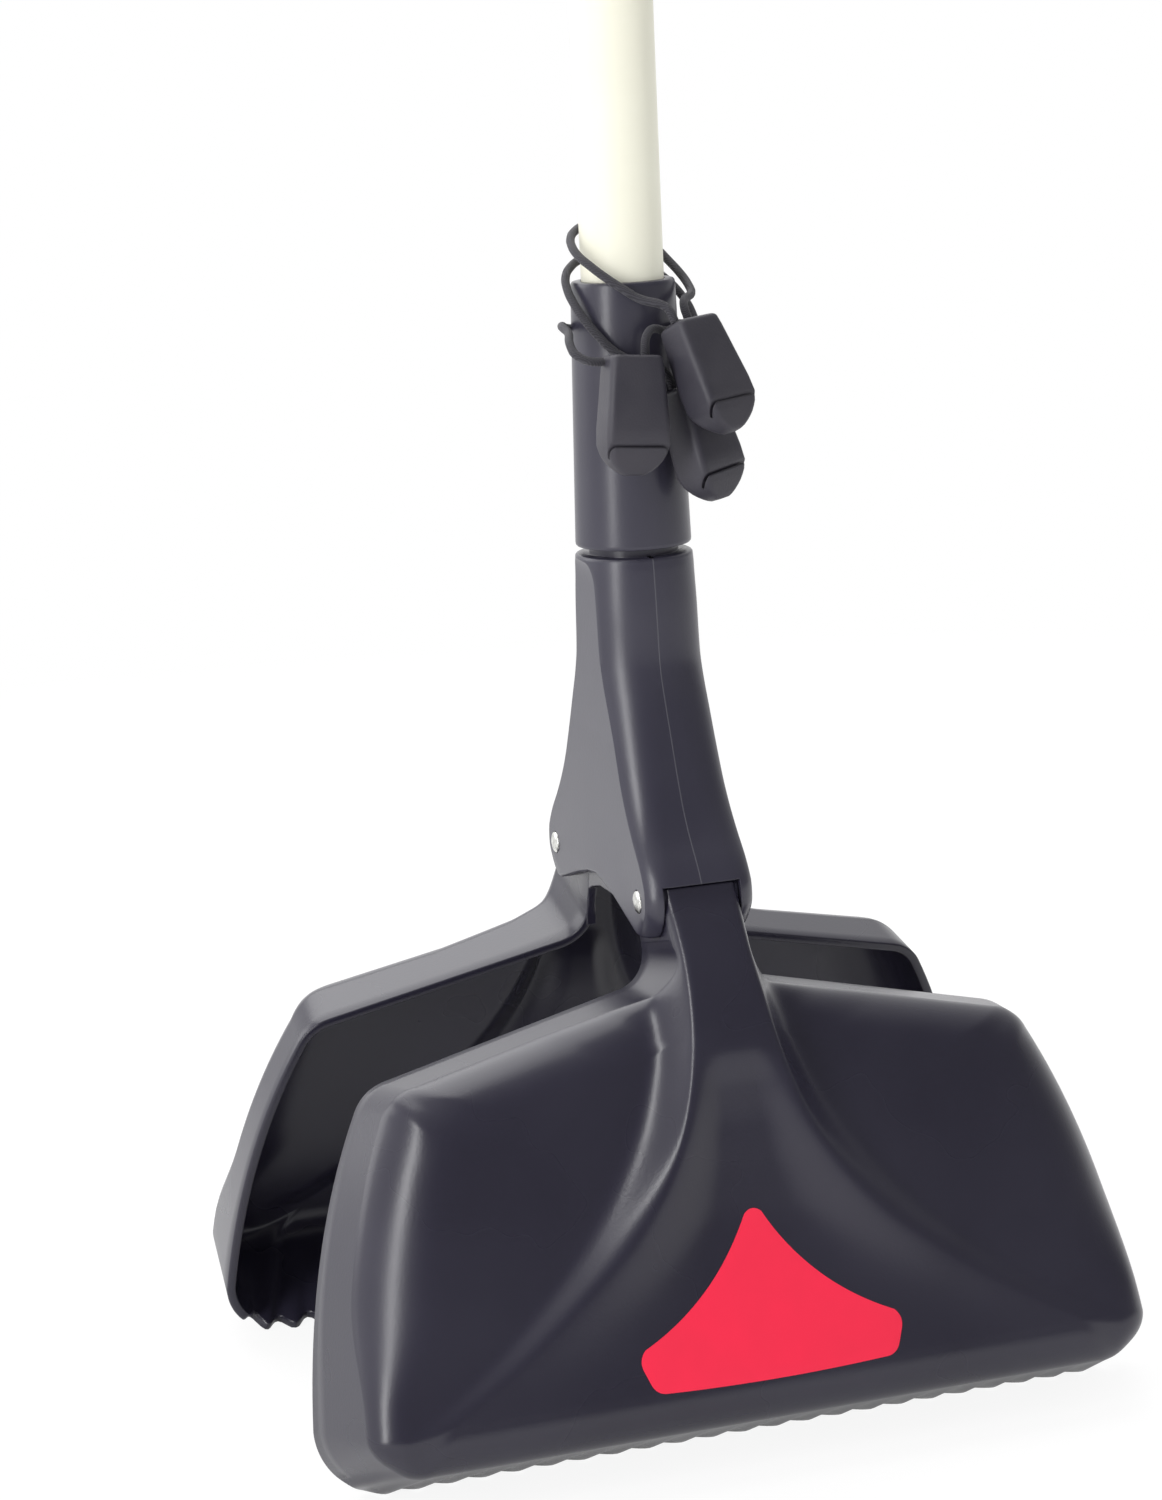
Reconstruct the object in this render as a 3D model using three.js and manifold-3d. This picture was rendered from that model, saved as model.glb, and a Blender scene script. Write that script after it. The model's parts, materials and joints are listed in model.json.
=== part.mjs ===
// A jaw scoop on a pole: two toothed jaws hang from a forked yoke, a rod inside the pole closes them,
// and a pull bar in a loop handle lifts the rod. Three bag clips hang on elastic loops at the collar.
// Millimetres, +Z up along the pole, X along the hinge pins, front jaw towards -Y, teeth tips at z = 0.
import * as THREE from "three";
import { mergeGeometries, mergeVertices } from "three/addons/utils/BufferGeometryUtils.js";
import Module from "manifold-3d";

const wasm = await Module();
wasm.setup();

// Shared clearances and cutting overrun
const seatGap = 0.3;
const pinPlay = 0.15;
const overrun = 4;

// Pole
const tubeRadius = 11;
const tubeWall = 1.2;
const tubeLength = 580;
const tubeFit = 0.15;

// Jaws, measured in the jaw's own frame: pivot at the origin, rim plane towards the other jaw
const pivotSpan = 72.8;
const jawDrop = 143.2;
const jawHalfWidth = 116.2;
const rimInset = 16.9;
const jawWall = 2.6;
const restTilt = THREE.MathUtils.degToRad(15.7);
const closeAngle = THREE.MathUtils.degToRad(23.4);
const shoulderDrop = 18.3;
const shoulderSlope = THREE.MathUtils.degToRad(13.2);
const shoulderHalfWidth = 91.1;
const shoulderRadius = 13;
const lowerCornerRadius = 18;
const wallDraft = THREE.MathUtils.degToRad(14);
const edgeRounding = 14;
const panelTopDepth = 7;
const panelBottomDepth = 23.5;
const footFlat = 0.4;

// Jaw arm, its ridges and the shallow field between them
const armHalfWidth = 10.4;
const armFaceDepth = 9.2;
const armTop = 2.2;
const armEndRadius = 8.2;
const armEdgeRadius = 1.6;
const armFilletRadius = 10;
const armOverTop = 12;
const ridgeDepth = 22.8;
const fieldDepth = 4;
const flankSkin = 0.7;
const flankWidth = 40;

// Teeth along the lower rim
const toothPitch = 9;
const toothDepth = 4.4;
const toothRowHalfWidth = 94.5;
const toothBand = 9;

// Horns that the rod's drive pin lifts
const hornThickness = 2.6;
const hornRadius = 5.2;
const hornLift = 6.2;
const hornRootReach = 15;
const hornRootDrop = 22;
const drivePinRadius = 2;
const slotClearance = 0.45;

// Pivot pins
const pivotPinRadius = 3;
const pivotPinHalf = 15;
const pivotPinDome = 0.9;

// Yoke
const yokeHalfThickness = 16.2;
const columnRise = 87.5;
const lobeRadius = 10;
const slotRise = 5.2;
const yokeCover = 4.4;
const archDrop = 1;
const archHalfWidth = 8;
const guideDrop = 29.5;
const guideHeight = 12;
const rodHoleRadius = 3.2;
const spigotRadius = 13.2;
const spigotRise = 19.5;
const sidePanelShy = 3.5;
const sidePanelUpper = 12.6;
const sidePanelLower = 14.6;

// Collar
const grooveHeight = 2;
const collarLength = 70.5;
const collarBottomRadius = 15.6;
const collarTopRadius = 13.9;
const collarChamfer = 1.2;
const spigotEndGap = 1;

// Rod and the parts on it
const rodRadius = 2.5;
const rodEndHalfX = 4.4;
const rodEndHalfY = 6;
const rodEndBelow = 6;
const rodEndAbove = 10;
const rodSeatDepth = 8;
const springWire = 1.4;
const springMeanRadius = 5;
const springTurns = 8;

// Loop handle
const handleOverlap = 42.3;
const handleHalfX = 13;
const neckRadius = 17;
const neckHeight = 34;
const loopHalfWidth = 66;
const loopFloor = 64;
const loopRoof = 124;
const loopTop = 148;
const loopBarHalfWidth = 50;
const loopCorner = 18;
const openingCorner = 12;
const handleBevel = 4;
const stemHalf = 6;
const stemPlay = 0.6;
const pullBarHalfWidth = 42;
const pullBarHalfX = 9;
const pullBarHeight = 14;
const pullBarBevel = 3;
const pullBarRest = 28;
const stemLength = 40;
const crossPinRadius = 1.5;
const screwRadius = 1.5;
const screwHeadRadius = 3;
const screwHeadHeight = 2;
const screwLength = 18;
const guideBushLength = 12;
const guideBushFlange = 2;

// Bag clips and elastic loops
const elasticRadius = 1.15;
const routeUnit = 1;
const clipHeight = 23;
const clipChin = 8;
const clipTopWidth = 14.5;
const clipBottomWidth = 17.4;
const clipTopDepth = 10;
const clipBottomDepth = 11.5;
const clipRounding = 2;
const clipSlit = 0.8;
const clipSlitReach = 5.4;

// Faceting
const roundSides = 32;
const pinSides = 24;
const smallSides = 12;

// Places that follow from the sizes above
const pivotHeight = jawDrop * Math.cos(restTilt) + rimInset * Math.sin(restTilt) - footFlat;
const pivotOffset = pivotSpan / 2;
const slotTop = pivotHeight + slotRise;
const archHeight = pivotHeight - archDrop;
const yokeTop = pivotHeight + columnRise;
const sidePanelTop = yokeTop - sidePanelShy;
const guideTop = yokeTop - guideDrop;
const guideBottom = guideTop - guideHeight;
const spigotTop = yokeTop + spigotRise;
const collarBottom = yokeTop + grooveHeight;
const collarTop = collarBottom + collarLength;
const collarShoulder = spigotTop + spigotEndGap;
const tubeBottom = guideTop + seatGap;
const tubeTop = tubeBottom + tubeLength;
const handleBase = tubeTop - handleOverlap;
const swing = pivotOffset * Math.tan(closeAngle / 2);
const drivePinHeight = pivotHeight + hornLift - swing;
const rodTravel = 2 * swing;

const colours = {
  plastic: new THREE.MeshStandardMaterial({ color: 0x26252b, roughness: 0.55, metalness: 0 }),
  rubber: new THREE.MeshStandardMaterial({ color: 0x2b2a30, roughness: 0.75, metalness: 0 }),
  elastic: new THREE.MeshStandardMaterial({ color: 0x2a2a31, roughness: 0.85, metalness: 0 }),
  tube: new THREE.MeshStandardMaterial({ color: 0xe6e3d8, roughness: 0.35, metalness: 0.3 }),
  steel: new THREE.MeshStandardMaterial({ color: 0xc9cac6, roughness: 0.3, metalness: 0.9 }),
};

// A closed geometry as a solid that can be joined and cut
function solid(geometry) {
  const bare = geometry.clone();
  for (const name of Object.keys(bare.attributes)) {
    if (name !== "position") bare.deleteAttribute(name);
  }
  const merged = mergeVertices(bare, 1e-4);
  const vertProperties = new Float32Array(merged.attributes.position.array);
  const triVerts = new Uint32Array(merged.index.array);
  return new wasm.Manifold(new wasm.Mesh({ numProp: 3, vertProperties, triVerts }));
}

function toGeometry(body) {
  const mesh = body.getMesh();
  const geometry = new THREE.BufferGeometry();
  geometry.setAttribute("position", new THREE.BufferAttribute(mesh.vertProperties, mesh.numProp));
  geometry.setIndex(new THREE.BufferAttribute(mesh.triVerts, 1));
  geometry.computeVertexNormals();
  return geometry;
}

function named(name, shape, material) {
  const geometry = shape.isBufferGeometry ? shape : toGeometry(shape);
  const mesh = new THREE.Mesh(geometry, material);
  mesh.name = name;
  return mesh;
}

function union(shapes) {
  return shapes.reduce((sum, shape) => sum.add(shape));
}

// A revolved solid about Z from [radius, height] pairs, listed upwards on the outside
function revolved(profile, sides) {
  const points = profile.map(([radius, height]) => new THREE.Vector2(radius, height));
  const geometry = new THREE.LatheGeometry(points, sides);
  geometry.rotateX(Math.PI / 2);
  return geometry;
}

function rod(radius, bottom, top, sides) {
  return revolved([[0, bottom], [radius, bottom], [radius, top], [0, top]], sides);
}

// A round bar along X
function crossBar(radius, halfLength, y, z, sides) {
  const bar = rod(radius, -halfLength, halfLength, sides);
  bar.rotateY(Math.PI / 2);
  bar.translate(0, y, z);
  return bar;
}

function block(x0, x1, y0, y1, z0, z1) {
  const box = new THREE.BoxGeometry(x1 - x0, y1 - y0, z1 - z0);
  box.translate((x0 + x1) / 2, (y0 + y1) / 2, (z0 + z1) / 2);
  return box;
}

// An outline in the YZ plane, given as a Shape with (y, z) points, extruded from x0 to x1
function sideExtrusion(shape, x0, x1, curveSegments = smallSides) {
  const geometry = new THREE.ExtrudeGeometry(shape, { depth: x1 - x0, bevelEnabled: false, curveSegments });
  geometry.applyMatrix4(new THREE.Matrix4().set(0, 0, 1, x0, 1, 0, 0, 0, 0, 1, 0, 0, 0, 0, 0, 1));
  return geometry;
}

function shapeOf(points) {
  return new THREE.Shape(points.map(([a, b]) => new THREE.Vector2(a, b)));
}

// Triangles between two rows of equal length, added to a list of positions
function stitch(list, lower, upper) {
  for (let i = 0; i + 1 < lower.length; i++) {
    list.push(lower[i], lower[i + 1], upper[i + 1], lower[i], upper[i + 1], upper[i]);
  }
}

// Triangles that close a flat ring; the two axes picked are the ones it spreads along
function closeRing(list, ring, axisA, axisB, flip) {
  const flat = ring.map((p) => new THREE.Vector2(p.getComponent(axisA), p.getComponent(axisB)));
  for (const [a, b, c] of THREE.ShapeUtils.triangulateShape(flat, [])) {
    if (flip) list.push(ring[a], ring[c], ring[b]);
    else list.push(ring[a], ring[b], ring[c]);
  }
}

function fromTriangles(list) {
  const geometry = new THREE.BufferGeometry().setFromPoints(list);
  return geometry;
}

// Jaw surface

// Ridge lines down the jaw: [share of the drop, share of the half width, share of the ridge depth]
const ridgeShares = [
  [-0.09, 0.0755, 0.4035],
  [0, 0.0755, 0.4035],
  [0.05, 0.0765, 0.53],
  [0.12, 0.08, 0.7],
  [0.19, 0.088, 0.84],
  [0.265, 0.1, 0.935],
  [0.35, 0.122, 0.985],
  [0.43, 0.155, 1],
  [0.52, 0.215, 0.985],
  [0.61, 0.3, 0.955],
  [0.7, 0.425, 0.935],
  [0.785, 0.565, 0.93],
  [0.868, 0.74, 0.96],
];
// Width of the flank beside a ridge and depth of the field between ridges, down the jaw
const flankShares = [[0, 0.16], [0.25, 0.24], [0.42, 0.36], [0.6, 0.62], [0.75, 0.85], [1, 1]];
const fieldShares = [[0.27, 0], [0.35, 0.62], [0.43, 0.95], [0.58, 1], [0.7, 0.6], [0.8, 0.22], [0.88, 0]];
// Share of the full draft by the way the wall faces, in quarter turns: down, lower corner, side, shoulder, up
const draftShares = [[-1, 0.85], [-0.5, 1.6], [-0.06, 1], [0.25, 1], [0.55, 1.55], [0.85, 0.6]];

// A smooth reading between the rows of a table
function along(table, at) {
  const end = table.length - 1;
  if (at <= table[0][0]) return table[0][1];
  if (at >= table[end][0]) return table[end][1];
  const next = table.findIndex(([here]) => at <= here);
  const slope = (i) => {
    if (i === 0 || i === end) return 0;
    return (table[i + 1][1] - table[i - 1][1]) / (table[i + 1][0] - table[i - 1][0]);
  };
  const span = table[next][0] - table[next - 1][0];
  const t = (at - table[next - 1][0]) / span;
  const rise = table[next][1] - table[next - 1][1];
  const first = slope(next - 1) * span;
  const second = slope(next) * span;
  return table[next - 1][1] + t * first + t * t * (3 * rise - 2 * first - second + t * (first + second - 2 * rise));
}

const ridgeCurve = new THREE.CatmullRomCurve3(
  ridgeShares.map(([down, out, deep]) => new THREE.Vector3(out * jawHalfWidth, -down * jawDrop, deep * ridgeDepth)),
  false,
  "centripetal",
);
const ridgeTable = ridgeCurve.getPoints(ridgeShares.length * roundSides);

// The ridge's point at a height on the jaw
function ridgeAt(height) {
  const last = ridgeTable[ridgeTable.length - 1];
  if (height <= last.y) return last;
  const next = Math.max(1, ridgeTable.findIndex((p) => p.y <= height));
  const a = ridgeTable[next - 1];
  const b = ridgeTable[next];
  return a.clone().lerp(b, (height - a.y) / (b.y - a.y));
}

function smooth(t) {
  const s = THREE.MathUtils.clamp(t, 0, 1);
  return s * s * (3 - 2 * s);
}

// Depth of the face, away from the rim plane, at a place across and up the jaw; a skin moves it inwards,
// and sideways too so that the steep flanks keep their thickness
function faceDepth(across, height, skin) {
  const down = -height / jawDrop;
  const ridge = ridgeAt(height);
  const side = Math.abs(across) + flankSkin * skin;
  const panel = panelTopDepth + (panelBottomDepth - panelTopDepth) * down;
  const rise = ridge.z - panel;
  if (side <= ridge.x) {
    return ridge.z - skin - fieldDepth * along(fieldShares, down) * (1 - smooth((side / ridge.x - 0.3) / 0.7));
  }
  const reach = Math.min(1, (side - ridge.x) / (flankWidth * along(flankShares, down)));
  const crisp = (1 - reach) ** 2;
  const soft = 1 - smooth(reach);
  const spread = THREE.MathUtils.lerp(crisp, soft, smooth((down - 0.3) / 0.4));
  return panel - skin + Math.max(0, rise) * spread;
}

function arc(cx, cy, radius, from, to, steps) {
  return Array.from({ length: steps + 1 }, (_, i) => {
    const angle = from + ((to - from) * i) / steps;
    return new THREE.Vector2(cx + radius * Math.cos(angle), cy + radius * Math.sin(angle));
  });
}

// One side of the rim's outline from the arm's top to the lower corner's end, with the share of rounding
// at each station and the height of the ridge point that it is drawn in towards
function jawStations(steps) {
  const stations = [];
  const add = (points, ridgeFrom, ridgeTo, roundFrom, roundTo, onArm = false) => {
    points.forEach((point, i) => {
      const t = points.length > 1 ? i / (points.length - 1) : 0;
      stations.push({
        point,
        ridge: -jawDrop * THREE.MathUtils.lerp(ridgeFrom, ridgeTo, t),
        share: THREE.MathUtils.lerp(roundFrom, roundTo, t),
        onArm,
      });
    });
  };
  const edgeHeight = (x) => -shoulderDrop - x * Math.tan(shoulderSlope);
  const filletX = armHalfWidth + armFilletRadius;
  const filletY = edgeHeight(filletX) + armFilletRadius / Math.cos(shoulderSlope);
  const corner = new THREE.Vector2(shoulderHalfWidth, edgeHeight(shoulderHalfWidth));
  const foot = new THREE.Vector2(jawHalfWidth, -jawDrop);
  const bulge = new THREE.Vector2(0.955 * jawHalfWidth, -0.55 * jawDrop);
  const sideDir = bulge.clone().sub(corner).normalize();
  const topDir = new THREE.Vector2(Math.cos(shoulderSlope), -Math.sin(shoulderSlope));
  const turn = Math.acos(topDir.dot(sideDir));
  const cut = shoulderRadius * Math.tan(turn / 2);
  const arcStart = corner.clone().addScaledVector(topDir, -cut);
  const arcEnd = corner.clone().addScaledVector(sideDir, cut);
  const centre = arcStart.clone().add(new THREE.Vector2(-topDir.y, topDir.x).multiplyScalar(-shoulderRadius));
  const startAngle = Math.PI / 2 - shoulderSlope;
  const sideEnd = new THREE.Vector2(jawHalfWidth - 0.012 * jawHalfWidth, -jawDrop + lowerCornerRadius);
  const side = new THREE.QuadraticBezierCurve(arcEnd, bulge, sideEnd);
  const fillet = arc(filletX, filletY, armFilletRadius, Math.PI, 1.5 * Math.PI - shoulderSlope, steps.fillet);
  const edgeStart = fillet[fillet.length - 1];
  const ridgeAtArm = -filletY / jawDrop;
  add([new THREE.Vector2(armHalfWidth, armOverTop), new THREE.Vector2(armHalfWidth, 0)], -armOverTop / jawDrop, 0, 0, 0, true);
  add(fillet, ridgeAtArm, 0.19, 0, 0.5, true);
  for (let i = 1; i < steps.edge; i++) {
    const t = i / steps.edge;
    add([edgeStart.clone().lerp(arcStart, t)], THREE.MathUtils.lerp(0.19, 0.45, t), 0, Math.min(1, 0.5 + t), 0);
  }
  add(arc(centre.x, centre.y, shoulderRadius, startAngle, startAngle - turn, steps.corner), 0.45, 0.55, 1, 1);
  side.getPoints(steps.side).slice(1, -1).forEach((point, i) => {
    add([point], THREE.MathUtils.lerp(0.55, 0.79, (i + 1) / steps.side), 0, 1, 0);
  });
  const lower = arc(sideEnd.x - lowerCornerRadius, foot.y + lowerCornerRadius, lowerCornerRadius, 0, -Math.PI / 2, steps.lower);
  add(lower, 0.79, 0.868, 1, 1);
  return stations;
}

function inwardNormals(points) {
  return points.map((point, i) => {
    const before = points[Math.max(0, i - 1)];
    const after = points[Math.min(points.length - 1, i + 1)];
    return new THREE.Vector2(after.y - before.y, before.x - after.x).normalize();
  });
}

// A tray-shaped body: skin is how far its surface lies inside the jaw's outer surface
function trayBody(steps, skin, rimDepth) {
  const stations = jawStations(steps);
  const points = stations.map((s) => s.point.clone());
  if (skin > 0) points[0].y += overrun;
  const normals = inwardNormals(points);
  normals[0].set(-1, 0);
  normals[1].set(-1, 0);
  normals[normals.length - 1].set(0, 1);
  const place = (x, height, depth) => new THREE.Vector3(x, -depth, height);
  const roundSteps = Array.from({ length: steps.round + 1 }, (_, k) => ((Math.PI / 2) * k) / steps.round);

  // The rows from the rim to a target point inside, at one station
  function profile(origin, normal, target, share, draft) {
    const rim = origin.clone().addScaledVector(normal, skin);
    const rounding = Math.max(armEdgeRadius, THREE.MathUtils.lerp(armEdgeRadius, edgeRounding, share) - skin);
    const towards = target.clone().sub(rim);
    const run = towards.dot(normal);
    const rise = faceDepth(rim.x, rim.y, skin) + rimInset - rounding;
    const lean = Math.tan(wallDraft * draft) * rise;
    const at = (inset) => rim.clone().addScaledVector(towards, Math.min(1, inset / run));
    const row = [place(rim.x, rim.y, rimDepth)];
    for (const angle of roundSteps) {
      const p = at(lean + rounding * (1 - Math.cos(angle)));
      row.push(place(p.x, p.y, faceDepth(p.x, p.y, skin) - rounding * (1 - Math.sin(angle))));
    }
    const start = Math.min(1, (lean + rounding) / run);
    for (let k = 1; k <= steps.flank; k++) {
      const t = start + ((1 - start) * k) / steps.flank;
      const p = rim.clone().addScaledVector(towards, t);
      row.push(place(p.x, p.y, faceDepth(p.x, p.y, skin)));
    }
    return row;
  }

  const targetAt = (height) => {
    const ridge = ridgeAt(height);
    return new THREE.Vector2(ridge.x - skin, height);
  };
  const sideRows = stations.map((station, i) => {
    const height = i === 0 ? points[0].y : station.ridge;
    const facing = Math.atan2(-normals[i].y, -normals[i].x) / (Math.PI / 2);
    const draft = station.onArm ? station.share : along(draftShares, facing);
    return profile(points[i], normals[i], targetAt(height), station.share, draft);
  });
  const across = steps.columns.map((share) => share);
  const last = sideRows.length - 1;
  const endTarget = targetAt(stations[last].ridge);
  const footX = points[last].x;
  const bottomRows = across.map((share) => {
    const foot = new THREE.Vector2(footX * share, -jawDrop);
    const target = new THREE.Vector2(endTarget.x * share, endTarget.y);
    return profile(foot, new THREE.Vector2(0, 1), target, 1, along(draftShares, -1));
  });
  bottomRows[0] = sideRows[last].map((p) => new THREE.Vector3(-p.x, p.y, p.z));
  bottomRows[across.length - 1] = sideRows[last];
  const mirror = (row) => row.map((p) => new THREE.Vector3(-p.x, p.y, p.z));
  const middle = sideRows.map((row) => {
    const edge = row[row.length - 1];
    return across.map((share) => place(edge.x * share, edge.z, faceDepth(edge.x * share, edge.z, skin)));
  });
  middle.forEach((row, i) => {
    row[0] = mirror(sideRows[i])[sideRows[i].length - 1];
    row[row.length - 1] = sideRows[i][sideRows[i].length - 1];
  });
  middle[last] = bottomRows.map((row) => row[row.length - 1]);

  const list = [];
  const leftRows = sideRows.map(mirror);
  for (let i = 0; i < last; i++) {
    stitch(list, sideRows[i], sideRows[i + 1]);
    stitch(list, leftRows[i + 1], leftRows[i]);
    stitch(list, middle[i + 1], middle[i]);
  }
  for (let i = 0; i + 1 < bottomRows.length; i++) stitch(list, bottomRows[i + 1], bottomRows[i]);
  const rimRing = [
    ...sideRows.map((row) => row[0]),
    ...bottomRows.slice(1, -1).reverse().map((row) => row[0]),
    ...leftRows.map((row) => row[0]).reverse(),
  ];
  closeRing(list, rimRing, 0, 2, true);
  const endRing = [...sideRows[0], ...middle[0].slice(1, -1).reverse(), ...leftRows[0].slice().reverse()];
  const endCentre = place(0, points[0].y, 0);
  endRing.forEach((p, i) => list.push(endCentre, endRing[(i + 1) % endRing.length], p));
  return fromTriangles(list);
}

// The row of rounded notches between the teeth, as one wavy bar across the lower rim
function toothNotches() {
  const count = Math.round((2 * toothRowHalfWidth) / toothPitch);
  const start = -(count * toothPitch) / 2;
  const stepsPerTooth = 6;
  const wave = Array.from({ length: count * stepsPerTooth + 1 }, (_, i) => {
    const phase = (2 * Math.PI * i) / stepsPerTooth;
    const depth = (toothDepth * (1 - Math.cos(phase))) / 2;
    return [start + (toothPitch * i) / stepsPerTooth, rimInset - depth];
  });
  const reach = rimInset + overrun;
  const shape = shapeOf([...wave, [-start, reach], [start, reach]]);
  const bar = new THREE.ExtrudeGeometry(shape, { depth: toothBand + overrun, bevelEnabled: false });
  bar.translate(0, 0, -jawDrop - overrun);
  return bar;
}

// A horn's plate outline in the jaw's frame; inward and up are measured from the pivot at rest
function hornShape() {
  const tilt = (inward, up) => {
    const y = inward * Math.cos(restTilt) - up * Math.sin(restTilt);
    const z = inward * Math.sin(restTilt) + up * Math.cos(restTilt);
    return new THREE.Vector2(y, z);
  };
  const slot = slotPath();
  const tip = slot[slot.length - 1];
  const upper = arc(tip.x, tip.y, hornRadius, Math.PI / 2, -Math.PI / 2, smallSides).map((p) => tilt(p.x, p.y));
  const rootTop = arc(0, 0, armEndRadius, Math.PI, Math.PI / 2, smallSides / 2).map((p) => tilt(p.x, p.y));
  const under = [
    tilt(0.7 * pivotOffset, slot[0].y - 1.15 * hornRadius),
    tilt(0.5 * pivotOffset, slot[0].y - 1.5 * hornRadius),
    tilt(0.4 * pivotOffset, slot[0].y - 1.8 * hornRadius),
    tilt(0.35 * pivotOffset, slot[0].y - 2.6 * hornRadius),
    tilt(0.33 * pivotOffset, -hornRootDrop),
    tilt(0, -hornRootDrop),
  ];
  return new THREE.Shape([...rootTop, ...upper, ...under]);
}

// The drive pin's path as the jaw sees it, from rest to closed: [inward, up] from the pivot
function slotPath() {
  const steps = 4;
  return Array.from({ length: steps + 1 }, (_, i) => {
    const turned = (closeAngle * i) / steps;
    const lift = drivePinHeight - pivotHeight + (rodTravel * i) / steps;
    const inward = pivotOffset * Math.cos(turned) + lift * Math.sin(turned);
    const up = -pivotOffset * Math.sin(turned) + lift * Math.cos(turned);
    return new THREE.Vector2(inward, up);
  });
}

function slotCutter() {
  const path = slotPath();
  const from = path[0];
  const to = path[path.length - 1];
  const angle = Math.atan2(to.y - from.y, to.x - from.x);
  const radius = drivePinRadius + slotClearance;
  const outline = [
    ...arc(from.x, from.y, radius, angle + Math.PI / 2, angle + 1.5 * Math.PI, smallSides / 2),
    ...arc(to.x, to.y, radius, angle - Math.PI / 2, angle + Math.PI / 2, smallSides / 2),
  ];
  const cutter = sideExtrusion(new THREE.Shape(outline), -armHalfWidth - overrun, armHalfWidth + overrun);
  cutter.rotateX(restTilt);
  return cutter;
}

// Everything above the arm's top that lies outside the round end about the pivot
function armEndCutter() {
  const reach = rimInset + overrun;
  const half = Math.asin(armTop / armEndRadius);
  const inner = arc(0, 0, armEndRadius, Math.PI - half, half, smallSides);
  const top = armOverTop + 2 * overrun;
  const shape = new THREE.Shape([
    ...inner,
    new THREE.Vector2(reach, armTop),
    new THREE.Vector2(reach, top),
    new THREE.Vector2(-reach, top),
    new THREE.Vector2(-reach, armTop),
  ]);
  return sideExtrusion(shape, -armHalfWidth - overrun, armHalfWidth + overrun);
}

const outerSteps = {
  fillet: 6, edge: 7, corner: 4, side: 5, lower: 4, round: 3, flank: 5,
  columns: [-1, -0.7, -0.35, 0, 0.35, 0.7, 1],
};
const innerSteps = {
  fillet: 4, edge: 5, corner: 3, side: 4, lower: 4, round: 2, flank: 3,
  columns: [-1, -0.7, -0.35, 0, 0.35, 0.7, 1],
};

// One jaw; the horns' plates lie between two distances from the middle
function jaw(hornInner, hornOuter) {
  const shell = solid(trayBody(outerSteps, 0, -rimInset))
    .subtract(solid(trayBody(innerSteps, jawWall, -rimInset - overrun)))
    .subtract(solid(armEndCutter()));
  const root = new THREE.Shape([
    ...arc(0, 0, armEndRadius, 0, Math.PI, smallSides),
    new THREE.Vector2(-armEndRadius, -hornRootDrop / 2),
    new THREE.Vector2(hornRootReach, -hornRootDrop / 2),
    new THREE.Vector2(hornRootReach, 0),
  ]);
  const parts = [shell];
  for (const side of [-1, 1]) {
    const near = side * hornInner;
    const far = side * hornOuter;
    const plate = sideExtrusion(hornShape(), Math.min(near, far), Math.max(near, far));
    parts.push(solid(plate));
    const wall = side * armHalfWidth;
    if (hornOuter < armHalfWidth) parts.push(solid(sideExtrusion(root, Math.min(near, wall), Math.max(near, wall))));
  }
  const feet = block(
    -jawHalfWidth - overrun, jawHalfWidth + overrun,
    -jawDrop, jawDrop,
    -pivotHeight - 2 * overrun, -pivotHeight,
  );
  feet.rotateX(restTilt);
  return union(parts)
    .subtract(solid(slotCutter()))
    .subtract(solid(crossBar(pivotPinRadius + pinPlay, armHalfWidth + overrun, 0, 0, pinSides)))
    .subtract(solid(toothNotches()))
    .subtract(solid(feet));
}

// Yoke

// The yoke's section up its height: shares of the way up, the lobe reach, full rounding and full thickness
const yokeShares = [
  [0, 1, 0.301, 1],
  [0.132, 0.995, 0.301, 1],
  [0.153, 0.97, 0.301, 1],
  [0.204, 0.873, 0.31, 1],
  [0.26, 0.757, 0.329, 1],
  [0.323, 0.651, 0.357, 1],
  [0.385, 0.563, 0.385, 1],
  [0.45, 0.491, 0.423, 1],
  [0.515, 0.44, 0.479, 1],
  [0.58, 0.403, 0.545, 1],
  [0.65, 0.378, 0.56, 1],
  [0.717, 0.366, 0.61, 1],
  [0.87, 0.372, 0.8, 0.98],
  [0.964, 0.355, 0.95, 0.965],
  [1, 0.347, 1, 0.963],
];

function roundedSection(halfX, halfY, radius, z, stepsPerCorner) {
  const ring = [];
  const corners = [[1, 1, 0], [-1, 1, 1], [-1, -1, 2], [1, -1, 3]];
  for (const [sx, sy, quarter] of corners) {
    const from = (quarter * Math.PI) / 2;
    for (const p of arc(sx * (halfX - radius), sy * (halfY - radius), radius, from, from + Math.PI / 2, stepsPerCorner)) {
      ring.push(new THREE.Vector3(p.x, p.y, z));
    }
  }
  return ring;
}

function loft(rings) {
  const list = [];
  for (let i = 0; i + 1 < rings.length; i++) {
    stitch(list, [...rings[i], rings[i][0]], [...rings[i + 1], rings[i + 1][0]]);
  }
  closeRing(list, rings[0], 0, 1, true);
  closeRing(list, rings[rings.length - 1], 0, 1, false);
  return fromTriangles(list);
}

const lobeReach = pivotOffset + lobeRadius;
const yokeBottom = pivotHeight - lobeRadius - seatGap;

function yokeHalfDepth(z) {
  const share = (z - yokeBottom) / (yokeTop - yokeBottom);
  return lobeReach * along(yokeShares, share);
}

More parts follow.
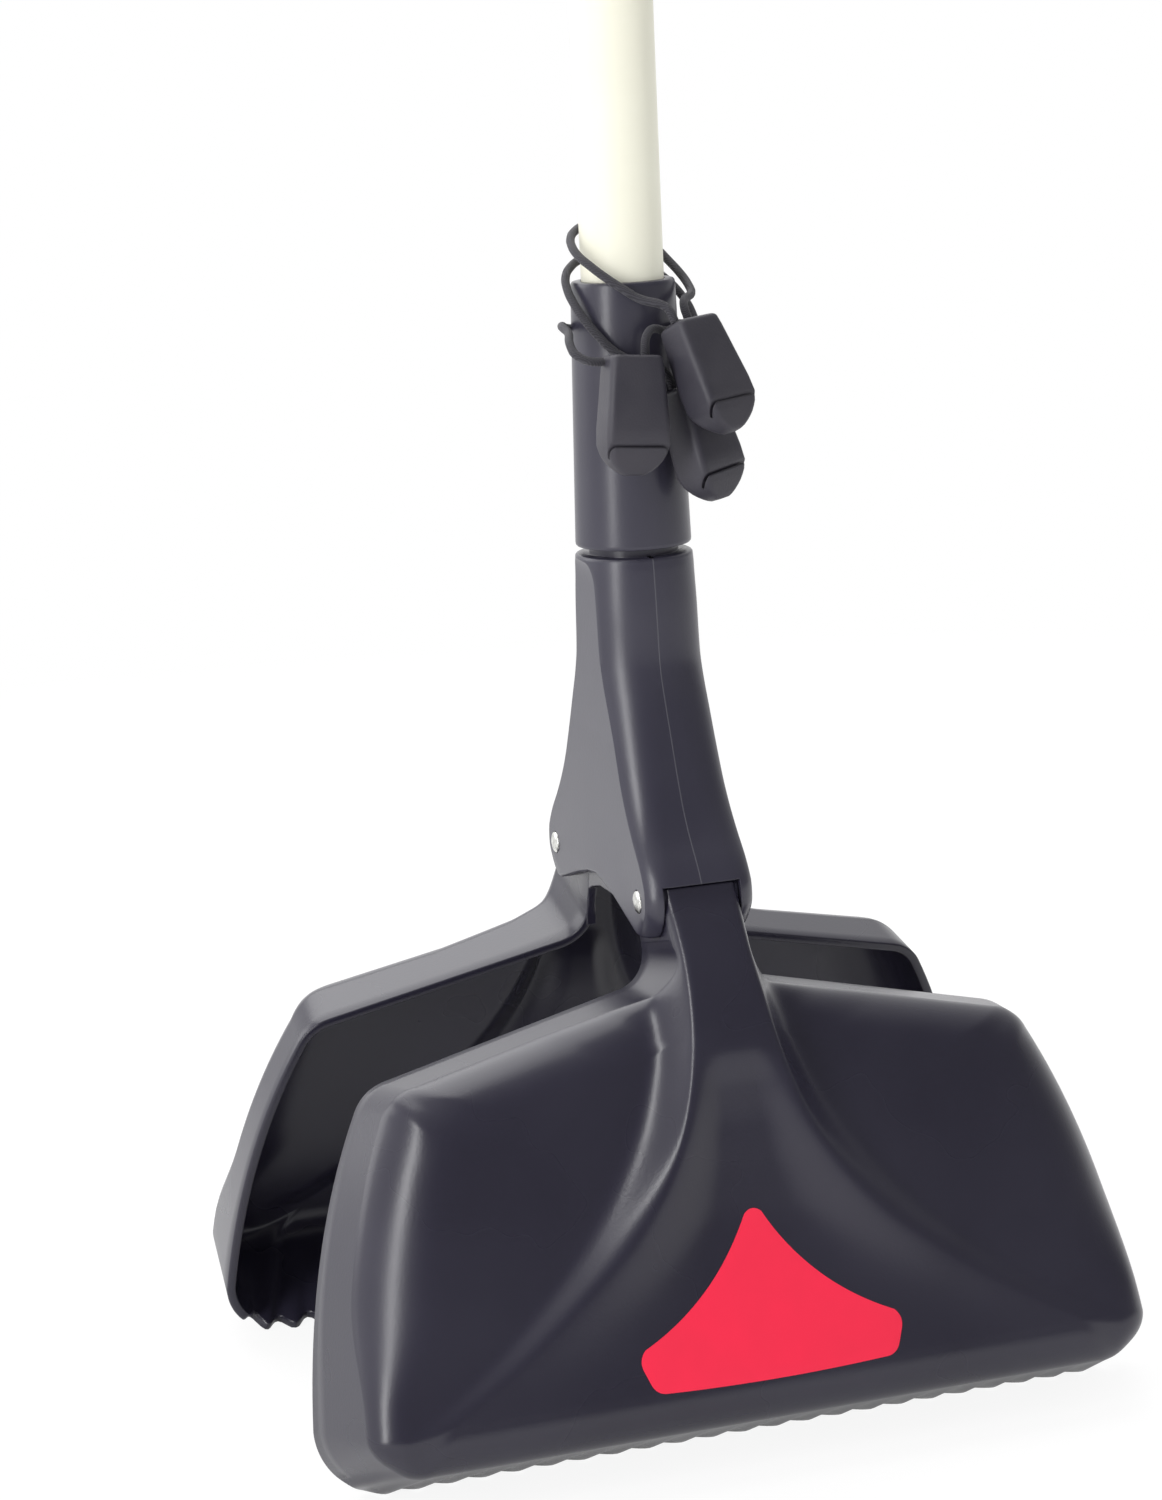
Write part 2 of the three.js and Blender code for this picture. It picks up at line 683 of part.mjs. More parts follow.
function yokeBody() {
  const outer = loft(
    yokeShares.map(([up, reach, round, thick]) => {
      const z = THREE.MathUtils.lerp(yokeBottom, yokeTop, up);
      return roundedSection(yokeHalfThickness * thick, lobeReach * reach, yokeHalfThickness * thick * round, z, 5);
    }),
  );
  // Side view: two lobes about the pins, an arch between them, and open above
  const lobe = (side) => arc(side * pivotOffset, pivotHeight, lobeRadius, side > 0 ? 0 : -0.5 * Math.PI, side > 0 ? -0.5 * Math.PI : -Math.PI, smallSides);
  const wide = lobeReach + overrun;
  const high = yokeTop + overrun;
  const front = lobe(-1);
  const back = lobe(1);
  const sideView = shapeOf([
    [wide, high],
    [wide, pivotHeight + lobeRadius],
    [lobeReach, pivotHeight],
    ...back.slice(1).map((p) => [p.x, p.y]),
    [archHalfWidth, archHeight],
    [-archHalfWidth, archHeight],
    ...front.slice(0, -1).map((p) => [p.x, p.y]),
    [-lobeReach, pivotHeight],
    [-wide, pivotHeight + lobeRadius],
    [-wide, high],
  ]);
  const thick = yokeHalfThickness + overrun;
  const body = solid(outer).intersect(solid(sideExtrusion(sideView, -thick, thick)));

  // Flat side panels, tapering out towards the pins, with a rounded upper end
  const cuts = [];
  for (const side of [-1, 1]) {
    const panel = shapeOf([
      [side * sidePanelLower, yokeBottom - overrun],
      [side * sidePanelLower, pivotHeight],
      [side * sidePanelUpper, THREE.MathUtils.lerp(pivotHeight, yokeTop, 0.45)],
      [side * sidePanelUpper, sidePanelTop - overrun],
      [side * THREE.MathUtils.lerp(sidePanelUpper, yokeHalfThickness, 0.3), sidePanelTop - overrun / 3],
      [side * yokeHalfThickness, sidePanelTop],
      [side * thick, sidePanelTop],
      [side * thick, yokeBottom - overrun],
    ]);
    const cut = new THREE.ExtrudeGeometry(panel, { depth: 2 * wide, bevelEnabled: false });
    cut.applyMatrix4(new THREE.Matrix4().set(1, 0, 0, 0, 0, 0, -1, wide, 0, 1, 0, 0, 0, 0, 0, 1));
    cuts.push(solid(cut));
  }
  // The space for the arms, open below, and the hollow above it behind the covers
  const inside = armHalfWidth + seatGap;
  cuts.push(solid(block(-inside, inside, -wide, wide, yokeBottom - overrun, slotTop)));
  const levels = [0, 0.15, 0.32, 0.56, 1].map((up) => THREE.MathUtils.lerp(slotTop, guideBottom, up));
  const hollow = shapeOf([
    ...levels.map((z) => [yokeHalfDepth(z) - yokeCover, z]),
    ...levels.map((z) => [yokeCover - yokeHalfDepth(z), z]).reverse(),
  ]);
  cuts.push(solid(sideExtrusion(hollow, -inside, inside)));
  for (const side of [-1, 1]) {
    cuts.push(solid(crossBar(armEndRadius + seatGap, inside, side * pivotOffset, pivotHeight, pinSides)));
    cuts.push(solid(crossBar(pivotPinRadius + pinPlay, thick, side * pivotOffset, pivotHeight, pinSides)));
  }
  cuts.push(solid(rod(rodHoleRadius, guideBottom - overrun, spigotTop + overrun, pinSides)));
  cuts.push(solid(rod(tubeRadius + tubeFit, guideTop, spigotTop + overrun, roundSides)));
  const spigot = solid(rod(spigotRadius, yokeTop - overrun, spigotTop, roundSides));
  return cuts.reduce((sum, cut) => sum.subtract(cut), body.add(spigot));
}

function collarBody() {
  const bore = tubeRadius + tubeFit;
  const socket = spigotRadius + tubeFit;
  return revolved(
    [
      [socket, collarBottom],
      [collarBottomRadius - collarChamfer, collarBottom],
      [collarBottomRadius, collarBottom + collarChamfer],
      [collarTopRadius, collarTop - collarChamfer],
      [collarTopRadius - collarChamfer, collarTop],
      [bore, collarTop],
      [bore, collarShoulder],
      [socket, collarShoulder],
      [socket, collarBottom],
    ],
    roundSides,
  );
}

function tubeBody() {
  const inner = tubeRadius - tubeWall;
  return revolved(
    [[inner, tubeBottom], [tubeRadius, tubeBottom], [tubeRadius, tubeTop], [inner, tubeTop], [inner, tubeBottom]],
    roundSides,
  );
}

// A pivot pin with a low dome on each end
function pivotPin(side) {
  const half = pivotPinHalf;
  const dome = (end) => [0.5, 0.85].map((share) => [pivotPinRadius * Math.sqrt(1 - share * share), end * (half + share * pivotPinDome)]);
  const profile = [
    [0, -half - pivotPinDome],
    ...dome(-1).reverse(),
    [pivotPinRadius, -half],
    [pivotPinRadius, half],
    ...dome(1),
    [0, half + pivotPinDome],
  ];
  const pin = revolved(profile, pinSides);
  pin.rotateY(Math.PI / 2);
  pin.translate(0, side * pivotOffset, pivotHeight);
  return pin;
}

// Rod, rod end and return spring

const rodEndTop = drivePinHeight + rodEndAbove;
const rodBottom = rodEndTop - rodSeatDepth;
const stemBottom = handleBase + loopFloor + pullBarRest - stemLength;
const rodTop = stemBottom + rodSeatDepth;

function rodEnd() {
  const bottom = drivePinHeight - rodEndBelow;
  return solid(block(-rodEndHalfX, rodEndHalfX, -rodEndHalfY, rodEndHalfY, bottom, rodEndTop))
    .subtract(solid(rod(rodRadius + pinPlay, rodBottom - seatGap, rodEndTop + overrun, pinSides)))
    .subtract(solid(crossBar(drivePinRadius + pinPlay, rodEndHalfX + overrun, 0, drivePinHeight, pinSides)));
}

// The spring as one tube swept along its helix
function springBody() {
  const sides = 6;
  const stepsPerTurn = 12;
  const low = rodEndTop + seatGap + springWire / 2;
  const high = guideBottom - seatGap - springWire / 2;
  const steps = springTurns * stepsPerTurn;
  const rings = Array.from({ length: steps + 1 }, (_, i) => {
    const turn = (2 * Math.PI * i) / stepsPerTurn;
    const z = THREE.MathUtils.lerp(low, high, i / steps);
    return Array.from({ length: sides }, (_, k) => {
      const around = (2 * Math.PI * k) / sides;
      const radius = springMeanRadius + (springWire / 2) * Math.cos(around);
      return new THREE.Vector3(radius * Math.cos(turn), radius * Math.sin(turn), z + (springWire / 2) * Math.sin(around));
    });
  });
  let leastGap = Infinity;
  for (let i = 0; i + stepsPerTurn <= steps; i++) {
    for (const lower of rings[i]) {
      for (const upper of rings[i + stepsPerTurn]) leastGap = Math.min(leastGap, lower.distanceTo(upper));
    }
  }
  console.log("return spring: least gap between turns", leastGap.toFixed(2));
  const list = [];
  for (let i = 0; i < steps; i++) stitch(list, [...rings[i + 1], rings[i + 1][0]], [...rings[i], rings[i][0]]);
  const first = rings[0];
  const last = rings[steps];
  for (let k = 1; k + 1 < sides; k++) {
    list.push(first[0], first[k], first[k + 1]);
    list.push(last[0], last[k + 1], last[k]);
  }
  return fromTriangles(list);
}

// Handle

function roundedRectangle(halfWidth, bottom, top, radius) {
  return [
    ...arc(halfWidth - radius, top - radius, radius, 0, Math.PI / 2, 5),
    ...arc(-halfWidth + radius, top - radius, radius, Math.PI / 2, Math.PI, 5),
    ...arc(-halfWidth + radius, bottom + radius, radius, Math.PI, 1.5 * Math.PI, 5),
    ...arc(halfWidth - radius, bottom + radius, radius, 1.5 * Math.PI, 2 * Math.PI, 5),
  ];
}

// A bevelled plate in the YZ plane, centred on x = 0
function bevelledSide(shape, halfX, bevel) {
  const geometry = new THREE.ExtrudeGeometry(shape, {
    depth: 2 * (halfX - bevel),
    bevelThickness: bevel,
    bevelSize: bevel,
    bevelOffset: -bevel,
    bevelSegments: 2,
    curveSegments: smallSides,
  });
  geometry.applyMatrix4(new THREE.Matrix4().set(0, 0, 1, bevel - halfX, 1, 0, 0, 0, 0, 1, 0, 0, 0, 0, 0, 1));
  return geometry;
}

function handleWhole() {
  const corner = loopCorner;
  const outline = [
    ...arc(loopHalfWidth - corner, loopTop - corner, corner, 0, Math.PI / 2, 6),
    ...arc(-loopHalfWidth + corner, loopTop - corner, corner, Math.PI / 2, Math.PI, 6),
    ...arc(-loopHalfWidth + corner, loopFloor - corner / 2, corner, Math.PI, 1.25 * Math.PI, 4),
    new THREE.Vector2(-neckRadius, neckHeight / 2),
    new THREE.Vector2(neckRadius, neckHeight / 2),
    ...arc(loopHalfWidth - corner, loopFloor - corner / 2, corner, 1.75 * Math.PI, 2 * Math.PI, 4),
  ];
  const opening = roundedRectangle(loopBarHalfWidth, loopFloor, loopRoof, openingCorner);
  const loop = bevelledSide(new THREE.Shape(outline), handleHalfX, handleBevel);
  loop.translate(0, 0, handleBase);
  const window = sideExtrusion(new THREE.Shape(opening), -handleHalfX - overrun, handleHalfX + overrun);
  window.translate(0, 0, handleBase);
  const neck = revolved(
    [
      [0, handleBase],
      [neckRadius - collarChamfer, handleBase],
      [neckRadius, handleBase + collarChamfer],
      [neckRadius, handleBase + neckHeight],
      [handleHalfX, handleBase + neckHeight + neckRadius - handleHalfX],
      [0, handleBase + neckHeight + neckRadius - handleHalfX],
    ],
    roundSides,
  );
  const channel = stemHalf + stemPlay;
  return solid(loop)
    .subtract(solid(window))
    .add(solid(neck))
    .subtract(solid(rod(tubeRadius + tubeFit, handleBase - overrun, tubeTop + guideBushFlange + seatGap, roundSides)))
    .subtract(solid(block(-channel, channel, -channel, channel, tubeTop, handleBase + loopFloor + overrun)));
}

const screwPlaces = [
  [-1, 0.5 * (loopHalfWidth + loopBarHalfWidth), loopFloor + loopCorner / 2],
  [1, 0.5 * (loopHalfWidth + loopBarHalfWidth), loopFloor + loopCorner / 2],
  [-1, 0.5 * loopHalfWidth, 0.5 * (loopRoof + loopTop)],
  [1, 0.5 * loopHalfWidth, 0.5 * (loopRoof + loopTop)],
].map(([side, y, z]) => [side * y, handleBase + z]);

function screwBody(y, z, play) {
  const headTop = handleHalfX - seatGap;
  const headBottom = headTop - screwHeadHeight - play;
  const screw = revolved(
    [
      [0, headTop - screwLength - play],
      [screwRadius + play, headTop - screwLength - play],
      [screwRadius + play, headBottom],
      [screwHeadRadius + play, headBottom],
      [screwHeadRadius + play, headTop + play * overrun / seatGap],
      [0, headTop + play * overrun / seatGap],
    ],
    smallSides,
  );
  screw.rotateY(Math.PI / 2);
  screw.translate(0, y, z);
  return screw;
}

function handleHalf(whole, side) {
  const wide = loopHalfWidth + overrun;
  const top = handleBase + loopTop + overrun;
  const away = [-side * (neckRadius + overrun), side * seatGap / 2];
  const other = block(Math.min(...away), Math.max(...away), -wide, wide, handleBase - overrun, top);
  return screwPlaces.reduce((sum, [y, z]) => sum.subtract(solid(screwBody(y, z, seatGap))), whole.subtract(solid(other)));
}

function pullBar() {
  const floor = handleBase + loopFloor + pullBarRest;
  const bar = bevelledSide(
    new THREE.Shape(roundedRectangle(pullBarHalfWidth, floor, floor + pullBarHeight, pullBarHeight / 2.2)),
    pullBarHalfX,
    pullBarBevel,
  );
  const stem = block(-stemHalf, stemHalf, -stemHalf, stemHalf, stemBottom, floor + pullBarHeight / 2);
  return solid(bar)
    .add(solid(stem))
    .subtract(solid(rod(rodRadius + pinPlay, stemBottom - overrun, rodTop + seatGap, pinSides)))
    .subtract(solid(crossBar(crossPinRadius + pinPlay, stemHalf + overrun, 0, stemBottom + rodSeatDepth / 2, smallSides)));
}

function pullRod() {
  return solid(rod(rodRadius, rodBottom, rodTop, pinSides / 2))
    .subtract(solid(crossBar(crossPinRadius + pinPlay, rodRadius + overrun, 0, stemBottom + rodSeatDepth / 2, smallSides)));
}

function guideBush() {
  const bore = rodHoleRadius;
  const plug = tubeRadius - tubeWall - tubeFit;
  return revolved(
    [
      [bore, tubeTop - guideBushLength],
      [plug, tubeTop - guideBushLength],
      [plug, tubeTop + pinPlay],
      [tubeRadius - tubeWall / 2, tubeTop + pinPlay],
      [tubeRadius - tubeWall / 2, tubeTop + guideBushFlange],
      [bore, tubeTop + guideBushFlange],
      [bore, tubeTop - guideBushLength],
    ],
    pinSides,
  );
}

// Bag clips on elastic loops

// A clip's section down its length: shares of the chin's drop, of the lower width and of the lower depth
const chinShares = [[0, 1, 1], [0.3, 0.94, 0.86], [0.6, 0.79, 0.67], [0.85, 0.54, 0.5], [1, 0.3, 0.38]];

// A clip hangs from the origin: a block that widens downwards to a round chin, with a slanting slit between
// them for the bag's edge
function clipBody() {
  const section = (width, depth, z) => roundedSection(width / 2, depth / 2, Math.min(clipRounding, depth / 3), z, 2);
  const chin = chinShares.map(([down, wide, deep]) => {
    return section(clipBottomWidth * wide, clipBottomDepth * deep, -clipHeight - clipChin * down);
  });
  const shoulder = section(clipBottomWidth, clipBottomDepth, -0.82 * clipHeight);
  const body = loft([...chin.reverse(), shoulder, section(clipTopWidth, clipTopDepth, 0)]);
  const slit = block(-clipBottomWidth, clipBottomWidth, -overrun, clipSlitReach, -clipSlit / 2, clipSlit / 2);
  slit.rotateX(-Math.PI / 4);
  slit.translate(0, -clipBottomDepth / 2, -clipHeight);
  return solid(body).subtract(solid(slit));
}

// Each clip's top point, its turn, lean and tip in degrees, and the route of its elastic round the collar.
// The places are hand-chosen, with heights from the collar's lower edge, and each route runs from the clip's
// left end round the back to its right end.
const clips = [
  {
    name: "front",
    at: [-6, -24, 52.7],
    turn: 2,
    lean: 5,
    tip: -8,
    route: [
      [-13.8, -22.7, 51.5], [-15, -22.8, 51.6], [-16.1, -22.8, 51.7], [-17.6, -22.7, 52],
      [-18.9, -22.1, 52.5], [-19.9, -21.3, 53.2], [-20.6, -20.2, 54], [-20.8, -19, 54.9],
      [-20.7, -17, 56.3], [-18.9, -10.5, 58.3], [-18.5, -4.3, 59.3], [-16.6, 2, 59.1], [-13.5, 8.4, 57.9],
      [-7.9, 13.8, 56.9], [0, 15.9, 56.5], [7.9, 13.8, 56.5], [13.5, 8.4, 56.9], [15.7, 2.2, 57.5],
      [15.4, -3.8, 57.9], [13.2, -8.9, 58.1], [9.9, -12.6, 58], [6.4, -15.2, 57.5], [2.9, -17.7, 58.5],
      [1.6, -18.6, 58.6], [0.4, -19.5, 58.2], [-0.6, -20.3, 57.3], [-1.3, -20.9, 56.1],
      [-1.6, -21.3, 54.6], [-1.7, -21.5, 53.5], [-1.8, -21.6, 52.3],
    ],
  },
  {
    name: "right",
    at: [10.3, -21.3, 60],
    turn: 26,
    lean: -3,
    tip: -26,
    route: [
      [6.1, -23.8, 60.3], [5.8, -23.4, 61.3], [5.5, -23, 62.3], [5, -22.4, 63.5], [4.3, -21.6, 64.4],
      [3.3, -20.8, 65], [-1.2, -17.4, 66.5], [-5.7, -14.9, 69.7], [-9.1, -12.2, 72.5],
      [-11.7, -8.9, 75.2], [-13.4, -4.8, 77.6], [-13.7, -0.4, 79.9], [-12.6, 3.9, 81.9],
      [-10.1, 7.7, 83.4], [-6.8, 10.6, 84.4], [-2.8, 12.4, 84.8], [1.4, 12.9, 84.4], [5.5, 12.4, 83.1],
      [9.2, 11, 80.7], [12.4, 8.4, 77.6], [14.9, 4.9, 74], [16.5, 0.8, 70.9], [17, -3.6, 68.3],
      [16.3, -8, 66.3], [12.6, -13.2, 65.2], [11.9, -14.4, 64.7], [11.5, -15.6, 63.9],
      [11.4, -16.5, 62.8], [11.6, -17.2, 61.5], [11.8, -17.6, 60.5], [12.1, -18.1, 59.5],
    ],
  },
  {
    name: "low",
    at: [10.7, -16.6, 42.9],
    turn: 30,
    lean: -6,
    tip: -15,
    route: [
      [6.5, -18.6, 42.6], [6.3, -18.4, 43.7], [6, -18.2, 44.8], [5.6, -17.9, 46], [4.8, -17.7, 47.1],
      [3.8, -17.5, 47.8], [2.6, -17.3, 48.3], [-0.6, -16.8, 49.1], [-4.6, -15.6, 50.9],
      [-8.2, -13.9, 53.5], [-11.3, -11.7, 57.3], [-13.9, -9, 61.4], [-15.5, -5.6, 65.4],
      [-15.9, -1.5, 69], [-14.9, 2.5, 72], [-12.3, 6.2, 74.1], [-8.6, 9.5, 75.6], [-4.1, 12, 76.5],
      [0.9, 13.2, 76.4], [5.9, 13.2, 75.2], [10.8, 12, 72.8], [15, 9.2, 69.3], [18, 5, 64.9],
      [19.2, 0.2, 60.3], [18.6, -4.6, 55.7], [16.8, -9, 51.3], [15.1, -10.9, 50.1], [14.4, -11.8, 49.4],
      [14, -12.6, 48.3], [13.8, -13.2, 47.1], [14, -13.6, 45.8], [14.2, -13.8, 44.7], [14.5, -14, 43.6],
    ],
  },
];

function clipPlace([x, y, up]) {
  return new THREE.Vector3(x * routeUnit, y * routeUnit, collarBottom + up * routeUnit);
}

function elasticBody(route) {
  const sides = 8;
  const curve = new THREE.CatmullRomCurve3(route.map(clipPlace), false, "centripetal");
  const section = new THREE.Shape(arc(0, 0, elasticRadius, 0, (2 * Math.PI * (sides - 1)) / sides, sides - 1));
  return new THREE.ExtrudeGeometry(section, { steps: 64, bevelEnabled: false, extrudePath: curve });
}

// The assembly
const scoop = new THREE.Group();

const jawParts = [
  ["front_jaw", -1, armHalfWidth - 2 * hornThickness - seatGap, armHalfWidth - hornThickness - seatGap],
  ["back_jaw", 1, armHalfWidth - hornThickness, armHalfWidth],
];
for (const [name, side, hornInner, hornOuter] of jawParts) {
  const group = new THREE.Group();
  group.rotation.set(-restTilt, 0, 0);
  const turned = new THREE.Group();
  turned.rotation.set(0, 0, side > 0 ? Math.PI : 0);
  turned.position.set(0, side * pivotOffset, pivotHeight);
  group.add(named(name, jaw(hornInner, hornOuter), colours.plastic));
  turned.add(group);
  scoop.add(turned);
}

scoop.add(named("front_pivot_pin", pivotPin(-1), colours.steel));
scoop.add(named("back_pivot_pin", pivotPin(1), colours.steel));
scoop.add(named("yoke", yokeBody(), colours.plastic));
scoop.add(named("collar", collarBody(), colours.plastic));
scoop.add(named("tube", tubeBody(), colours.tube));
scoop.add(named("rod_end", rodEnd(), colours.steel));
scoop.add(named("drive_pin", crossBar(drivePinRadius, armHalfWidth, 0, drivePinHeight, pinSides), colours.steel));
scoop.add(named("return_spring", springBody(), colours.steel));
scoop.add(named("pull_rod", pullRod(), colours.steel));
scoop.add(named("rod_guide", guideBush(), colours.plastic));
scoop.add(named("pull_bar", pullBar(), colours.plastic));
const crossPinHeight = stemBottom + rodSeatDepth / 2;
scoop.add(named("pull_bar_pin", crossBar(crossPinRadius, stemHalf, 0, crossPinHeight, smallSides), colours.steel));
const whole = handleWhole();
scoop.add(named("handle_left", handleHalf(whole, -1), colours.plastic));
scoop.add(named("handle_right", handleHalf(whole, 1), colours.plastic));
screwPlaces.forEach(([y, z], i) => {
  scoop.add(named("handle_screw_" + (i + 1), screwBody(y, z, 0), colours.steel));
});
for (const clip of clips) {
  const mesh = named("clip_" + clip.name, clipBody(), colours.rubber);
  const [tip, lean, turn] = [clip.tip, clip.lean, clip.turn].map(THREE.MathUtils.degToRad);
  mesh.rotation.set(tip, lean, turn, "ZYX");
  mesh.position.copy(clipPlace(clip.at));
  scoop.add(mesh);
  scoop.add(named("elastic_" + clip.name, elasticBody(clip.route), colours.elastic));
}

export default scoop;
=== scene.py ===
import bisect
import json
import math
import bmesh
import bpy
from mathutils import Matrix, Vector


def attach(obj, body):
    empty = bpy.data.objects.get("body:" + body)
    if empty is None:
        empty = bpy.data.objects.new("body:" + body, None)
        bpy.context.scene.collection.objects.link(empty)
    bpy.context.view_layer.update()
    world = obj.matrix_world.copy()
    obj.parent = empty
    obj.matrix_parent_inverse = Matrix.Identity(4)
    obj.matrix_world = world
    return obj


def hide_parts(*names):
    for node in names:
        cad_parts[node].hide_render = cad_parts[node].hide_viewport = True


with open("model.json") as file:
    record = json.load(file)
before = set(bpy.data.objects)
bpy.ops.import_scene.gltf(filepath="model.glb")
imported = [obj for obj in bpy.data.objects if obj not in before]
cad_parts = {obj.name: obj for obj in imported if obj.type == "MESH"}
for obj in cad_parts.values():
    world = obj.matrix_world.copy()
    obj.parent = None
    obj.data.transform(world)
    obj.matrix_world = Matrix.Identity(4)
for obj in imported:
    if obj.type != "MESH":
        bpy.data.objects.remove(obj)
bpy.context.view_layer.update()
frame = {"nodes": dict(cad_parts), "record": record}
mm = 0.001
studio = bpy.context.scene.collection
print("frame loaded")

# camera: the photograph's view, from the left and a little above
cameraSettings = {
    "place": (-0.27825, -0.84714, 0.37115),
    "looking": (0.28738, 0.93342, -0.21479),
    "roll": -2.63,
    "lens": 80.32,
    "sensor": 36,
    "farthest": 60,
}


def placeCamera(settings):
    data = bpy.data.cameras.new("sceneCamera")
    data.lens = settings["lens"]
    data.sensor_width = settings["sensor"]
    data.clip_end = settings["farthest"]
    camera = bpy.data.objects.new("sceneCamera", data)
    aim = Vector(settings["looking"]).to_track_quat("-Z", "Y").to_matrix().to_4x4()
    turn = Matrix.Rotation(math.radians(settings["roll"]), 4, "Z")
    camera.matrix_world = Matrix.Translation(settings["place"]) @ aim @ turn
    studio.objects.link(camera)
    bpy.context.scene.camera = camera


placeCamera(cameraSettings)
bpy.context.scene.view_settings.view_transform = "Standard"
print("camera placed")


# small tools for shaping; lengths inside them are millimetres, and a cutter reaches past its piece
shaping = {"weld": 0.004, "sliver": 0.0005, "sharpFrom": 38, "past": 4}


def pieceFrom(name, points, faces):
    mesh = bpy.data.meshes.new(name)
    mesh.from_pydata([Vector(p) * mm for p in points], [], faces)
    piece = bpy.data.objects.new(name, mesh)
    studio.objects.link(piece)
    return piece


def tidyMesh(piece, weld):
    work = bmesh.new()
    work.from_mesh(piece.data)
    bmesh.ops.remove_doubles(work, verts=work.verts, dist=weld * mm)
    bmesh.ops.dissolve_degenerate(work, edges=work.edges, dist=shaping["sliver"] * mm)
    bmesh.ops.recalc_face_normals(work, faces=work.faces)
    work.to_mesh(piece.data)
    work.free()


def weldPatches(name, patches, polygons=(), weld=shaping["weld"]):
    # one mesh from patches, each of even rows of points, and from single polygons
    points, faces = [], []
    for rows in patches:
        start, wide = len(points), len(rows[0])
        for row in rows:
            points.extend(row)
        for i in range(len(rows) - 1):
            for k in range(wide - 1):
                a = start + i * wide + k
                faces.append((a, a + 1, a + wide + 1, a + wide))
    for ring in polygons:
        faces.append(tuple(range(len(points), len(points) + len(ring))))
        points.extend(ring)
    piece = pieceFrom(name, points, faces)
    tidyMesh(piece, weld)
    return piece


def softShade(piece, degrees=shaping["sharpFrom"]):
    piece.data.shade_smooth()
    piece.data.set_sharp_from_angle(angle=math.radians(degrees))


def turned(name, profile, sides=96):
    # a turned part about Z from (radius, height) pairs
    angles = [2 * math.pi * k / sides for k in range(sides + 1)]
    rows = [[Vector((r * math.cos(a), r * math.sin(a), z)) for r, z in profile] for a in angles]
    piece = weldPatches(name, [rows])
    softShade(piece)
    return piece


def roundBar(radius, start, end, sides=64):
    # a closed straight bar between two points
    start, end = Vector(start), Vector(end)
    turn = (end - start).to_track_quat("Z", "Y")
    long = (end - start).length
    rows = []
    for k in range(sides + 1):
        angle = 2 * math.pi * k / sides
        spoke, rise = Vector((radius * math.cos(angle), radius * math.sin(angle), 0)), Vector((0, 0, long))
        rows.append([start + turn @ v for v in (Vector((0, 0, 0)), spoke, spoke + rise, rise)])
    return weldPatches("bar", [rows])


def plate(name, outline, x0, x1, hole=None):
    # a flat plate in the side view, from (y, z) points, with an optional hole
    work = bmesh.new()
    for loop in (outline, hole or []):
        verts = [work.verts.new((x0 * mm, y * mm, z * mm)) for y, z in loop]
        for i in range(len(verts)):
            work.edges.new((verts[i], verts[(i + 1) % len(verts)]))
    bmesh.ops.triangle_fill(work, use_beauty=True, edges=work.edges)
    lifted = bmesh.ops.extrude_face_region(work, geom=work.faces[:])
    moved = [part for part in lifted["geom"] if isinstance(part, bmesh.types.BMVert)]
    bmesh.ops.translate(work, verts=moved, vec=((x1 - x0) * mm, 0, 0))
    bmesh.ops.recalc_face_normals(work, faces=work.faces)
    piece = pieceFrom(name, [], [])
    work.to_mesh(piece.data)
    work.free()
    return piece


def levelBlock(x0, x1, y0, y1, z0, z1):
    return plate("block", [(y0, z0), (y1, z0), (y1, z1), (y0, z1)], x0, x1)


def shaped(piece, cutters, operation="DIFFERENCE"):
    for cutter in cutters:
        change = piece.modifiers.new("change", "BOOLEAN")
        change.operation = operation
        change.solver = "EXACT"
        change.object = cutter
    graph = bpy.context.evaluated_depsgraph_get()
    mesh = bpy.data.meshes.new_from_object(piece.evaluated_get(graph))
    piece.modifiers.clear()
    old = piece.data
    piece.data = mesh
    bpy.data.meshes.remove(old)
    for cutter in cutters:
        bpy.data.objects.remove(cutter)
    return piece


def joined(piece, others):
    work = bmesh.new()
    for part in [piece] + others:
        work.from_mesh(part.data)
    work.to_mesh(piece.data)
    work.free()
    for part in others:
        bpy.data.objects.remove(part)
    return piece


def arcOf(cx, cy, radius, start, end, steps):
    angles = [start + (end - start) * i / steps for i in range(steps + 1)]
    return [Vector((cx + radius * math.cos(a), cy + radius * math.sin(a))) for a in angles]


def evenSteps(steps):
    return [i / steps for i in range(steps + 1)]


def quarterTurn(steps):
    return [math.pi / 2 * k / steps for k in range(steps + 1)]


def ringAt(x, loop):
    # a closed ring in the side view from (y, z) points
    return [Vector((x, y, z)) for y, z in loop + [loop[0]]]


def mirrored(row):
    return [Vector((-p.x, p.y, p.z)) for p in row]


def movedTo(x, y, z):
    return Matrix.Translation(Vector((x, y, z)) * mm)


def mix(a, b, t):
    return a + (b - a) * t


def clamped(t):
    return min(1, max(0, t))


def smooth(t):
    s = clamped(t)
    return s * s * (3 - 2 * s)


def eased(value, start, span):
    return smooth((value - start) / span)


def along(table, at):
    # a smooth reading between the rows of a table
    end = len(table) - 1
    if at <= table[0][0]:
        return table[0][1]
    if at >= table[end][0]:
        return table[end][1]
    nxt = next(i for i, row in enumerate(table) if at <= row[0])

    def slope(i):
        if i in (0, end):
            return 0
        return (table[i + 1][1] - table[i - 1][1]) / (table[i + 1][0] - table[i - 1][0])

    (x0, y0), (x1, y1) = table[nxt - 1], table[nxt]
    span, rise = x1 - x0, y1 - y0
    t = (at - x0) / span
    first, second = slope(nxt - 1) * span, slope(nxt) * span
    return y0 + t * first + t * t * (3 * rise - 2 * first - second + t * (first + second - 2 * rise))


